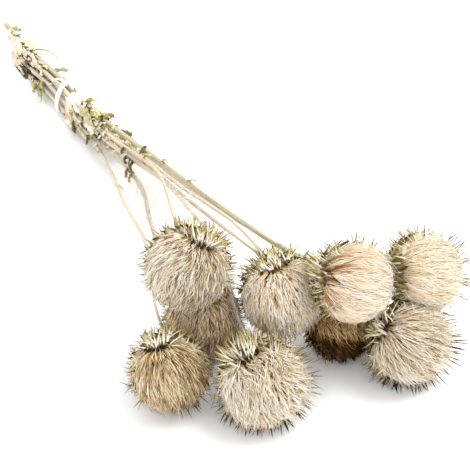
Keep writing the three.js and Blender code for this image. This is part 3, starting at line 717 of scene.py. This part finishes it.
def add_back_scales(heap, head, rng, n=84):
    """Scales that lie over the cup, small beside the stem and longer outwards."""
    back = axes_of(-head.mouth, head.whorl)
    turn = spiral_turns(n, rng, 0.1)
    out = np.sqrt((np.arange(n) + 0.5) / n)
    root = 0.10 + 0.80 * out + rng.normal(0, 0.03, n)
    tip = root + (0.28 + 0.36 * out) * rng.uniform(0.85, 1.2, n)
    foot, high = ways_at(back, root, turn), ways_at(back, tip, turn)
    over = rng.uniform(0.2, 1.0, n) * (0.02 + 0.08 * out)
    add_blades(heap, head, foot, high, head.down * (0.95 - 0.10 * root),
               head.down * (0.985 + over), (0.95 + 0.2 * out) * rng.uniform(0.8, 1.1, n),
               np.clip(rng.normal(0.5, 0.2, n), 0.16, 0.95), rng.normal(0, 0.4, n), root=0.45)


def add_crown(heap, head, rng, n=46):
    """Short wide bracts on the bare crown, which fan away from the parting."""
    turn = rng.uniform(-2.0, 2.0, n)
    tilt = head.parting * rng.uniform(0.15, 1.0, n) ** 0.5 - 0.03
    roots = ways_at(head.combed, tilt, turn)
    fan = axes_of(unit(head.whorl + 0.42 * head.to_mouth), head.pole)
    away, round_fan = angles_from(fan, roots)
    tips = ways_at(fan, away + rng.uniform(0.25, 0.65, n), round_fan + rng.normal(0, 0.2, n))
    add_blades(heap, head, roots, tips, head.down * rng.uniform(0.82, 0.92, n),
               head.down * rng.uniform(1.0, 1.06, n) + head.spare * rng.uniform(0.2, 1.9, n),
               rng.uniform(0.22, 0.44, n), np.clip(rng.normal(0.62, 0.28, n), 0.08, 0.97),
               rng.normal(0, 0.9, n))


# Bracts on the rim, between the down and the ring. From and to: how far from the ring's middle, how
# much further their tips are, their feet's and tips' height in shares of the down's radius and
# how much of the spare room they take, and half their width. Then how far tips sway, tone (middle
# and spread), how pale they are on the crown's side (from, to, by), curl, and the bare part round
# the pole.
COLLAR = dict(tilt=(0.9, 1.3), lean=(0.35, 0.7), foot=(0.74, 0.84), tip=(0.98, 1.06),
              spare=(0.3, 1.1), half=(0.25, 0.42), sway=0.12, tone=(0.32, 0.2),
              pale=(0.0, 1.0, 0.35), curl=(0.8, 0.15, 4.0), bare=0.3)
FRINGE = dict(tilt=(1.3, 1.7), lean=(-0.12, 0.22), foot=(0.72, 0.84), tip=(1.0, 1.08),
              spare=(0.3, 1.3), half=(0.22, 0.40), sway=0.16, tone=(0.2, 0.15),
              pale=(-0.2, 0.9, 0.4), curl=(0.9, 0.15, 4.0), bare=0.0)


def add_rim(heap, head, rng, turn, look):
    """Bracts that stand out round the head at each `turn`, as `look` says."""
    n = len(turn)
    tilt = rng.uniform(*look["tilt"], n)
    roots = ways_at(head.rim, tilt, turn)
    kept = angles_from(head.combed, roots)[0] > look["bare"]
    tips = ways_at(head.rim, tilt + rng.uniform(*look["lean"], n),
                   turn + rng.normal(0, look["sway"], n))
    high = head.down * rng.uniform(*look["tip"], n) + head.spare * rng.uniform(*look["spare"], n)
    start, stop, pale = look["pale"]
    tone = rng.normal(*look["tone"], n) + pale * smooth_step(start, stop, np.cos(turn))
    curl = mixed_curls(rng, n, *look["curl"])
    parts = (roots, tips, head.down * rng.uniform(*look["foot"], n), high,
             rng.uniform(*look["half"], n), np.clip(tone, 0.04, 0.97), curl)
    add_blades(heap, head, *(part[kept] for part in parts))


def add_collar(heap, head, rng, n=40):
    """Bracts that stand out of the down's edge on the crown's side, and lie back round the head."""
    add_rim(heap, head, rng, rng.uniform(-2.1, 2.1, n), COLLAR)


def add_fringe(heap, head, rng, n=44):
    """Thin bracts that come out from under the down's edge all round it, with dark tips."""
    add_rim(heap, head, rng, spiral_turns(n, rng, 0.2), FRINGE)


def add_sprays(heap, head, rng):
    """The sprays of bracts seen round the head's outline from the front."""
    for start, stop, n, over_from, over_to, wide, tone in SPRAYS[head.number]:
        angle = np.radians(rng.uniform(start, stop, n))
        roots = seen_ways(angle, rng.uniform(-0.3, 0.3, n))
        tips = seen_ways(angle + rng.normal(0, 0.06, n), rng.uniform(-0.15, 0.2, n))
        curl = mixed_curls(rng, n, 0.6, 0.2, 2.5)
        add_blades(heap, head, roots, tips, head.down * rng.uniform(0.74, 0.86, n),
                   head.down + rng.uniform(over_from, over_to, n),
                   wide * rng.uniform(0.7, 1.3, n), np.clip(rng.normal(tone, 0.08, n), 0.01, 0.97),
                   curl)


def seen_ways(angle, towards):
    """Directions at `angle` round the picture from its right, tipped towards the camera."""
    flat = np.cos(angle)[:, None] * SEEN_RIGHT + np.sin(angle)[:, None] * SEEN_UP
    return unit(flat + towards[:, None] * SEEN_NEAR)


def add_curls(heap, head, rng, n=14):
    """Thin dry bracts that have curled up."""
    turn = rng.uniform(-math.pi, math.pi, n)
    tilt = rng.uniform(1.1, 1.5, n)
    tips = ways_at(head.rim, tilt + rng.uniform(0.0, 0.3, n), turn + rng.normal(0, 0.3, n))
    add_blades(heap, head, ways_at(head.rim, tilt, turn), tips,
               head.down * rng.uniform(0.8, 0.9, n), head.reach * rng.uniform(0.96, 1.04, n),
               rng.uniform(0.13, 0.2, n), rng.uniform(0.04, 0.2, n),
               rng.choice([-1, 1], n) * rng.uniform(4, 8, n))


def make_bracts(head):
    rng = np.random.default_rng(BRACT_SEED + head.number)
    heap = Heap()
    size = head.size
    cup = head.centre - head.mouth * CUP_OFFSET * size + BALL_VERTS * CUP_RADIUS * size
    cup = off_stems(kept_inside(cup, head, 0.6), head, 0.35)
    add_ball(heap, cup, BALL_FACES, 0.42, 0.64)
    for add in (add_back_scales, add_crown, add_collar, add_fringe, add_sprays, add_curls):
        add(heap, head, rng)
    return heap


# ---------- Stems, leaves and tie ----------


def line_frames(line):
    """Directions along a line, level across it, and across both."""
    along = unit(np.gradient(line, axis=0))
    side = unit(np.cross([0.0, 0.0, 1.0], along))
    return along, side, np.cross(along, side)


STEM_CORNERS = 20
STEM_TWIST = 0.004  # radians a mm
STEM_RIDGE = 0.10  # how deep the furrows are, in shares of the radius
# How far up the map the cut end's pit, lip and edge are. The rest of the stem is over them.
PIT_UP, LIP_UP, EDGE_UP = 0.018, 0.034, 0.048


def make_stem(head):
    """A ridged, slightly uneven stalk with a hollow cut end, closed at its head."""
    rng = np.random.default_rng(STEM_SEED + head.number)
    line, c = head.line, STEM_CORNERS
    along, side, over = line_frames(line)
    run = run_of(line)
    k = np.arange(c)
    turn = k * 2 * math.pi / c
    angle = turn[None] + STEM_TWIST * run[:, None] * rng.choice([-1, 1])
    slow = sum(0.02 * np.sin(run / w + p) for w, p in zip((9, 17, 31), rng.uniform(0, 6, 3)))
    lumps = 0.03 * np.sin(turn[None] * 2 + run[:, None] / 14 + rng.uniform(0, 6))
    size = head.radius[:, None] * (0.93 + slow[:, None] + lumps) * (1 - STEM_RIDGE * (k % 2))
    rings = lifted(line[:, None] + side[:, None] * (size * np.cos(angle))[..., None]
                   + over[:, None] * (size * np.sin(angle))[..., None], 0.05)
    lip = line[0] + (rings[0] - line[0]) * 0.72
    pit = line[0] + (rings[0] - line[0]) * 0.55 + along[0] * 1.2
    rings = np.concatenate([[pit, lip], rings])
    verts = np.vstack([rings.reshape(-1, 3), pit.mean(0), line[-1]])
    count = len(rings)
    up = run / run[-1] * 0.94 + 0.05
    low, high = np.append([PIT_UP, LIP_UP], up[:-1]), np.append([LIP_UP, EDGE_UP], up[1:])
    u = np.stack([k, k + 1, k + 1, k], 1) / c
    v = np.stack([low, low, high, high], 1)
    places = np.stack(np.broadcast_arrays(u[None], v[:, None]), 3)
    n = (k + 1) % c
    last, middle = (count - 1) * c, np.full(c, count * c)
    heap = Heap()
    heap.add(verts, (ring_quads(count, c).reshape(-1, 4), places.reshape(-1, 4, 2)),
             (np.stack([k, middle, n], 1), fan_places(k, k + 0.5, k + 1, 0.016, 0.002, 0.016)),
             (np.stack([last + k, last + n, middle + 1], 1),
              fan_places(k, k + 1, k + 0.5, 0.991, 0.991, 0.999)))
    return heap


def fan_places(a, b, c, *ups):
    """The map places of a stem's end fan: its three corners' places across, then up."""
    across = np.stack([a, b, c], 1) / STEM_CORNERS
    return np.stack(np.broadcast_arrays(across, ups), 2)


LEAF_COLUMNS = 5
RIM_WIDTH = 0.006  # the room that a leaf's rim takes on the map


def add_leaf(heap, points, across, wide, rng, tone, crumple, thick):
    """A thin curled blade along `points`, with a crumpled edge; closed, and five corners wide."""
    steps, columns = len(points), LEAF_COLUMNS
    t = np.linspace(0, 1, steps)
    half = wide * (0.25 + 0.5 * np.sin(math.pi * (0.15 + t * 0.8)))
    half[-1] *= 0.35
    along = unit(np.gradient(points, axis=0))
    across = unit(across - (along * across).sum(1, keepdims=True) * along)
    through = np.cross(along, across)
    x = np.linspace(-1, 1, columns)
    ruffle = crumple * rng.normal(0, 1, (steps, columns)) * (0.3 + 0.7 * np.abs(x))
    fold = wide * 0.28 * x**2 * rng.choice([-1, 1])
    edge = 1 + 0.28 * rng.normal(0, 1, (steps, columns)) * (np.abs(x) > 0.9)
    sheet = (points[:, None] + across[:, None] * (half[:, None] * x * edge)[..., None]
             + through[:, None] * (ruffle + fold)[..., None])
    verts = np.vstack([(sheet + through[:, None] * side).reshape(-1, 3)
                       for side in (thick, -thick)])
    m = steps * columns
    # Round each row of corners: the top from left to right, then the underside back again.
    round_row = np.append(np.arange(columns), m + np.arange(columns)[::-1])
    corners = round_row + columns * np.arange(steps)[:, None]
    walls = corners.ravel()[ring_quads(steps, 2 * columns)]
    edges = [columns - 1, 2 * columns - 1]
    sides = np.delete(walls, edges, 1).reshape(-1, 4)
    q = np.arange(columns - 1)
    end = m - columns + q
    faces = np.vstack([sides, walls[:, edges].reshape(-1, 4),
                       np.stack([m + q, m + q + 1, q + 1, q], 1),
                       np.stack([end, end + 1, m + end + 1, m + end], 1)])
    flat = np.stack(np.broadcast_arrays(x * 0.04 + tone, t[:, None] * 0.94 + 0.02), 2)
    spots = np.vstack([flat.reshape(-1, 2)] * 2)[faces]
    spots[len(sides):, 2:, 0] += RIM_WIDTH
    spots[len(sides):, 1:3, 1] += RIM_WIDTH
    heap.add(verts, (faces, np.clip(spots, *MAP_EDGES)))


def stem_at(head, x):
    """The stem's middle, direction and radius where it crosses x."""
    line = head.line
    i = int(np.argmax(line[:, 0] > x))
    s = (x - line[i - 1, 0]) / (line[i, 0] - line[i - 1, 0])
    return line[i - 1] + (line[i] - line[i - 1]) * s, unit(line[i] - line[i - 1]), head.radius[i]


def leaf_lines(head, x, lean, long, wide, steps, rise):
    """A leaf's middle line from its foot on the stem, and the direction across it."""
    foot, along, radius = stem_at(head, x)
    lean = math.radians(lean)
    out = np.array([0, -math.sin(lean), math.cos(lean)])
    across = unit(np.cross(along, out))
    t = np.linspace(0, 1, steps)
    points = (foot + along * (long * (t * 0.9 - 0.1))[:, None]
              + out * (radius * 0.7 + long * rise * np.sin(t * 1.7))[:, None]
              + across * (wide * 0.25 * np.sin(t * 5 + x))[:, None])
    points[0] = foot + out * radius * 0.6
    return points, across


def make_leaves(head):
    rng = np.random.default_rng(LEAF_SEED + head.number)
    heap = Heap()
    for table, steps, rise, crumple, thick in LEAF_SETS:
        for stem, x, lean, long, wide, tone in table:
            if stem == head.number:
                points, across = leaf_lines(head, x, lean, long, wide, steps, rise)
                add_leaf(heap, points, across, wide, rng, tone, crumple, thick)
    # How many, from and to along X, and how pale from and to.
    scraps = [(6, head.cut + 4, -12, 0.6, 0.92), (11, 9, 55, 0.55, 0.99),
              (2, 52, 100, 0.4, 0.95), (2, 11, 60, 0.05, 0.35)]
    if head.number < 5:
        scraps.append((1, head.cut + 10, -26, 0.05, 0.3))
    for scrap in scraps:
        add_scraps(heap, head, rng, *scrap)
    if head.number in FUZZY:
        add_fuzz(heap, head, rng, *FUZZY[head.number])
    for stem, other, x_from, x_to, count in WEBS:
        if stem == head.number:
            add_web(heap, head, HEADS[other - 1], rng, x_from, x_to, count)
    return heap


def add_scraps(heap, head, rng, count, x_from, x_to, tone_from, tone_to):
    """Small crumpled scraps of dried leaf that hug the stem."""
    for _ in range(count):
        x, lean = rng.uniform(x_from, x_to), rng.uniform(-120, 120)
        long, wide = rng.uniform(2.5, 6.5), rng.uniform(1.3, 3.0)
        points, across = leaf_lines(head, x, lean, long, wide, 6, rng.uniform(0.05, 0.45))
        add_leaf(heap, points, across, wide, rng, rng.uniform(tone_from, tone_to), 0.5, 0.11)


# Stems with white cobwebby hairs: from and to along X, and how many hairs.
FUZZY = {
    1: (15, 100, 220), 2: (15, 165, 380), 3: (20, 170, 380), 4: (190, 230, 900),
    5: (15, 150, 380), 7: (15, 120, 160), 9: (15, 110, 160),
}
HAIR_STEPS = np.array([0, 0.5, 1.0])
HAIR_SHAPE = np.array([1.0, 0.9, 0.0])

# Loose pale threads from one stem towards another: the two stems, from and to along X, how many.
WEBS = [(2, 3, 78, 150, 150), (2, 1, 95, 150, 70), (5, 1, 95, 140, 40)]
THREAD_STEPS = np.linspace(0, 1, 6)
THREAD_SHAPE = np.array([1.0, 1.0, 1.0, 0.9, 0.7, 0.0])


def add_web(heap, head, other, rng, x_from, x_to, count):
    """Fine threads that hang between two stems, some of them torn off on the way."""
    x = rng.uniform(x_from, x_to, count)
    far = x + rng.normal(14, 9, count)
    here, there = (read_at(at, stem.line[:, 0], stem.line)
                   for at, stem in ((x, head), (far, other)))
    s = THREAD_STEPS[None, :, None] * rng.uniform(0.35, 1.0, (count, 1, 1))
    lines = here[:, None] + (there - here)[:, None] * s
    lines += rng.normal(0, 1.3, (count, 1, 3)) * np.sin(math.pi * THREAD_STEPS)[None, :, None]
    lines += rng.normal(0, 0.5, (count, 1, 3)) * np.sin(2 * math.pi * THREAD_STEPS)[None, :, None]
    lines = lifted(lines, 0.4)
    size = rng.uniform(0.07, 0.12, count)[:, None] * THREAD_SHAPE
    add_rods(heap, lines, unit(there - here)[:, [1, 2, 0]], size, size, 3,
             rng.uniform(0.94, 0.98, count), 0.01)


def add_fuzz(heap, head, rng, x_from, x_to, count):
    """Fine pale hairs that stand off the stem and lean along it."""
    line = head.line
    along, side, over = line_frames(line)
    run = line[:, 0]
    x, turn = rng.uniform(x_from, x_to, count), rng.uniform(0, 2 * math.pi, count)
    middle, along, side, over = (read_at(x, run, a) for a in (line, along, side, over))
    out = side * np.cos(turn)[:, None] + over * np.sin(turn)[:, None]
    foot = middle + out * (np.interp(x, run, head.radius) * 0.85)[:, None]
    long = rng.uniform(0.8, 2.4, count)
    way = unit(out * 0.7 + along * rng.normal(0, 0.8, count)[:, None]
               + rng.normal(0, 0.3, (count, 3)))
    s = HAIR_STEPS[None, :, None]
    bend = rng.normal(0, 0.35, (count, 1, 3))
    lines = foot[:, None] + (way[:, None] * s + bend * s**2) * long[:, None, None]
    size = rng.uniform(0.06, 0.12, count)[:, None] * HAIR_SHAPE
    add_rods(heap, lines, side, size, size, 3, rng.uniform(0.88, 0.96, count), 0.01)


def round_bundle(turn):
    """Directions at `turn` round the bundle."""
    return np.stack([np.zeros_like(turn), np.cos(turn), np.sin(turn)], 1)


def make_tie():
    """Three turns of two-ply cord with a knot and two short ends."""
    heap = Heap()
    slots = np.array([slot_of(head) for head in HEADS])
    steps = 96 * CORD_TURNS
    turn = np.linspace(0, 2 * math.pi * CORD_TURNS, steps) + math.pi / 2
    hull = np.array([slots[(slots @ way).argmax()] + way * STEM_RADIUS_CUT
                     for way in round_bundle(np.linspace(0, 2 * math.pi, 360, endpoint=False))])
    middle = np.array([0, BUNDLE_SIDE, hull[:, 2].mean()])
    spokes = hull - middle
    reach = np.interp(turn, np.arctan2(spokes[:, 2], spokes[:, 1]),
                      np.linalg.norm(spokes[:, 1:], axis=1), period=2 * math.pi) + CORD_RADIUS
    path = middle + round_bundle(turn) * reach[:, None]
    path[:, 0] = np.linspace(-1, 1, steps) * CORD_PITCH * (CORD_TURNS - 1) / 2 * 1.3
    path[:, 0] -= TIE_TILT * (path[:, 1] - BUNDLE_SIDE)
    top = path[0] * 0.5 + path[-1] * 0.5 + [0, 0, 0.4]
    loop = np.linspace(0, 2 * math.pi, 40)
    knot = top + np.stack([1.1 * np.sin(loop * 1.5), 1.3 * np.cos(loop * 1.5),
                           0.5 * np.sin(loop * 2) + 0.5], 1)
    t = np.linspace(0, 1, 24)[:, None]
    ends = [top + np.array([0, 0, 0.5]) + np.array([sign * 9.0, sign * 3.5, -2.0]) * t
            + np.array([0, 1.2, 1.2]) * np.sin(t * 3.1) for sign in (-1, 1)]
    for line in (path, knot, *ends):
        add_cord(heap, line)
    return heap


PLY_RADIUS = 0.42
PLY_OFFSET = 0.72  # how far a ply's middle is from the cord's, in ply radii
LAY = 2.6  # the length of one twist


def add_cord(heap, path):
    """Two twisted plies along `path`."""
    along = unit(np.gradient(path, axis=0))
    side = unit(np.cross(along, [0.13, 0.31, 0.94]))
    run = run_of(path)
    count = max(int(run[-1] / 0.32), 12)
    wanted = np.linspace(0, run[-1], count)
    centre, side, over = (read_at(wanted, run, a) for a in (path, side, np.cross(along, side)))
    size = np.full((1, count), PLY_RADIUS)
    for ply in (0, math.pi):
        angle = (2 * math.pi * wanted / LAY + ply)[:, None]
        off = (side * np.cos(angle) + over * np.sin(angle)) * PLY_RADIUS * PLY_OFFSET
        line = (centre + off)[None]
        add_rods(heap, line, side[None], size, size, 4, np.array([0.5]), 0.3)


# ---------- Materials ----------


def linear(code):
    """The linear colour of an sRGB hex code."""
    parts = [int(code[i:i + 2], 16) / 255 for i in (0, 2, 4)]
    return [c / 12.92 if c <= 0.04045 else ((c + 0.055) / 1.055) ** 2.4 for c in parts] + [1.0]


class Nodes:
    """A material's node tree, with short ways to add nodes."""

    def __init__(self, name):
        self.material = bpy.data.materials.new(name)
        self.material.use_nodes = True
        self.tree = self.material.node_tree
        self.shader = self.tree.nodes["Principled BSDF"]

    def add(self, kind, inputs, **settings):
        """A new node. `inputs` holds values and sockets by the input's name or number."""
        node = self.tree.nodes.new("ShaderNode" + kind)
        for key, value in settings.items():
            setattr(node, key, value)
        for key, value in inputs.items():
            self.put(node.inputs[key], value)
        return node

    def put(self, socket, value):
        if isinstance(value, bpy.types.NodeSocket):
            self.tree.links.new(value, socket)
        else:
            socket.default_value = value

    def ramp(self, factor, *stops):
        """Each stop is a place from 0 to 1 and its hex code, or its grey as a number."""
        node = self.add("ValToRGB", {"Fac": factor})
        elements = node.color_ramp.elements
        elements[0].position, elements[1].position = stops[0][0], stops[-1][0]
        for place, _ in stops[1:-1]:
            elements.new(place)
        for element, (_, look) in zip(elements, stops):
            element.color = linear(look) if isinstance(look, str) else [look] * 3 + [1]
        return node.outputs["Color"]

    def mix(self, way, factor, a, b):
        node = self.add("Mix", {0: factor, 6: a, 7: b}, data_type="RGBA", blend_type=way)
        return node.outputs[2]

    def dimmed(self, colour, share, factor, *stops):
        """The colour, darkened in `share` by a ramp."""
        return self.mix("MULTIPLY", share, colour, self.ramp(factor, *stops))

    def place(self):
        """The "OFBake" map's place, and its across and up."""
        spot = self.add("UVMap", {}, uv_map="OFBake").outputs["UV"]
        split = self.add("SeparateXYZ", {0: spot})
        return spot, split.outputs["X"], split.outputs["Y"]

    def noise(self, vector, across, up, detail=2.0, rough=0.5):
        """Noise with `across` and `up` waves to each unit of the vector."""
        waves = self.add("Mapping", {"Vector": vector, "Scale": (across, up, 1.0)})
        node = self.add("TexNoise", {"Vector": waves.outputs["Vector"], "Scale": 1.0,
                                     "Detail": detail, "Roughness": rough})
        return node.outputs["Fac"]

    def bump(self, height, strength, distance):
        node = self.add("Bump", {"Height": height, "Strength": strength, "Distance": distance})
        self.put(self.shader.inputs["Normal"], node.outputs["Normal"])

    def finish(self, colour, roughness):
        self.put(self.shader.inputs["Base Color"], colour)
        self.put(self.shader.inputs["Roughness"], roughness)
        return self.material


# Down from dark to pale, in six even steps.
PALETTES = {
    "cream": ("1c0f06", "6c5032", "b6986c", "e2cfae", "f5eddd", "fffcf5"),
    "tan": ("180d05", "5e4428", "a48458", "d8be92", "f0e0c2", "fdf5e4"),
    "rust": ("160b04", "563818", "9c723e", "d6b07a", "efd8ae", "fceedb"),
    "silk": ("28170a", "8a5a32", "cfa068", "efcfa4", "faecd6", "fffcf6"),
    "peach": ("28170a", "8a5c34", "cfa06a", "efd0a6", "f9e9ce", "fffaee"),
}


def down_material(name):
    m = Nodes("down_" + name)
    spot, tone, up = m.place()
    colour = m.ramp(tone, *zip((0.0, 0.2, 0.4, 0.6, 0.8, 1.0), PALETTES[name]))
    # Painted shade: each strand is darker towards its root, deep in the down.
    colour = m.dimmed(colour, 1.0, up, (0.0, "aa9a7a"), (0.25, "e0d6c2"), (0.5, "f8f5ef"),
                      (0.75, "ffffff"))
    colour = m.dimmed(colour, 0.5, m.noise(spot, 60, 9), (0.3, 0.82), (0.7, 1.0))
    m.shader.inputs["Specular IOR Level"].default_value = 0.1
    return m.finish(colour, m.ramp(up, (0.0, 0.75), (1.0, 0.55)))


def bract_material():
    m = Nodes("bracts_dry")
    spot, tone, up = m.place()
    green = m.ramp(up, (0.0, "6c5c34"), (0.2, "f7f1e2"), (0.5, "ece5ca"), (0.68, "c8bc88"),
                   (0.86, "948548"), (1.0, "4a381a"))
    brown = m.ramp(up, (0.0, "6c5232"), (0.25, "f2e6d2"), (0.48, "d2c09c"), (0.66, "9a7e52"),
                   (0.85, "5e4428"), (1.0, "2c180c"))
    colour = m.mix("MIX", m.ramp(tone, (0.3, 0.0), (0.65, 1.0)), brown, green)
    colour = m.dimmed(colour, 1.0, tone, (0.02, 0.12), (0.12, 0.6), (0.2, 1.0))
    colour = m.dimmed(colour, 0.7, m.noise(spot, 160, 5), (0.3, 0.65), (0.7, 1.1))
    m.shader.inputs["Specular IOR Level"].default_value = 0.12
    return m.finish(colour, 0.62)


def stem_material(name, pale, mid, dark, green):
    m = Nodes(name)
    spot, _, up = m.place()
    streak = m.noise(spot, 26, 7, 3.0, 0.6)
    colour = m.ramp(streak, (0.25, dark), (0.45, mid), (0.7, pale))
    patch = m.noise(spot, 3, 14)
    colour = m.mix("MIX", m.ramp(patch, (0.45, 0.0), (0.62, 0.75)), colour, linear(green))
    cut = m.ramp(up, (0.0, 0.0), (0.03, 0.15), (0.045, 1.0), (0.06, 0.0))
    colour = m.mix("MIX", cut, colour, linear("e6c8ae"))
    colour = m.dimmed(colour, 0.6, m.noise(spot, 14, 160), (0.32, 0.55), (0.45, 1.0))
    m.bump(streak, 0.35, 0.0003)
    return m.finish(colour, 0.7)


def leaf_material():
    m = Nodes("leaves_dry")
    spot, tone, _ = m.place()
    colour = m.ramp(tone, (0.05, "3a2a1c"), (0.25, "75623e"), (0.45, "a9a263"), (0.62, "cdc890"),
                    (0.78, "e6dfc2"), (0.87, "ecd4c0"), (0.96, "f6f2e8"))
    colour = m.dimmed(colour, 0.7, m.noise(spot, 30, 8, 3.0), (0.3, 0.55), (0.6, 1.0))
    return m.finish(colour, 0.75)


def cord_material():
    m = Nodes("cord_cotton")
    spot = m.place()[0]
    fibre = m.noise(spot, 20, 700)
    colour = m.ramp(fibre, (0.3, "dcd8d2"), (0.7, "fbfaf7"))
    m.shader.inputs["Sheen Weight"].default_value = 0.3
    return m.finish(colour, 0.85)


DOWN = {name: down_material(name) for name in PALETTES}
BRACT = bract_material()
LEAF = leaf_material()
CORD = cord_material()
STEM_PALE = stem_material("stem_pale", "e2dacd", "c9bdab", "7f715c", "bfb89c")
STEM_OLIVE = stem_material("stem_olive", "d2cab4", "a1977a", "554a38", "a9a27c")
STEM_TAN = stem_material("stem_tan", "e0d2c0", "c2ae94", "7c644c", "b3a98c")
STEM_LOOKS = {1: STEM_TAN, 6: STEM_OLIVE, 7: STEM_TAN}  # the rest are pale

for head in HEADS:
    name, stem = f"head_{head.number}", f"stem_{head.number}"
    make_piece(name + "_down", make_down(head), DOWN[head.palette], "pappus", name + "_pappus")
    make_piece(name + "_bracts", make_bracts(head), BRACT, "bracts", name + "_involucre")
    look = STEM_LOOKS.get(head.number, STEM_PALE)
    make_piece(stem + "_stalk", make_stem(head), look, "stem", stem)
    make_piece(stem + "_leaves", make_leaves(head), LEAF, "bracts")
make_piece("tie_cord", make_tie(), CORD, "tie", "tie")

# ---------- Floor and light ----------

FLOOR_HALF = 3.0
SKY_STRENGTH = 1.42
SUN_STRENGTH = 2.3
SUN_WIDTH = math.radians(35)


def make_floor():
    mesh = bpy.data.meshes.new("floor")
    s = FLOOR_HALF
    mesh.from_pydata([(-s, -s, 0), (s, -s, 0), (s, s, 0), (-s, s, 0)], [], [(0, 1, 2, 3)])
    m = Nodes("floor_white")
    grain = m.noise(m.add("TexCoord", {}).outputs["Object"], 900.0, 900.0)
    mesh.materials.append(m.finish(m.ramp(grain, (0.0, 0.90), (1.0, 0.92)), 0.9))
    floor = bpy.data.objects.new("floor", mesh)
    bpy.context.scene.collection.objects.link(floor)


make_floor()
world = bpy.data.worlds.new("world")
world.use_nodes = True
sky = world.node_tree.nodes["Background"]
sky.inputs["Color"].default_value = (1.0, 1.0, 1.0, 1)
sky.inputs["Strength"].default_value = SKY_STRENGTH
bpy.context.scene.world = world

sun_data = bpy.data.lights.new("sun", "SUN")
sun_data.energy = SUN_STRENGTH
sun_data.angle = SUN_WIDTH
sun_data.color = (1.0, 0.98, 0.95)
sun = bpy.data.objects.new("sun", sun_data)
sun.rotation_mode = "QUATERNION"
sun.rotation_quaternion = Vector((0.10, 0.53, 0.85)).to_track_quat("Z", "Y")
bpy.context.scene.collection.objects.link(sun)

bpy.context.scene.view_settings.view_transform = "Standard"
bpy.context.scene.view_settings.look = "None"
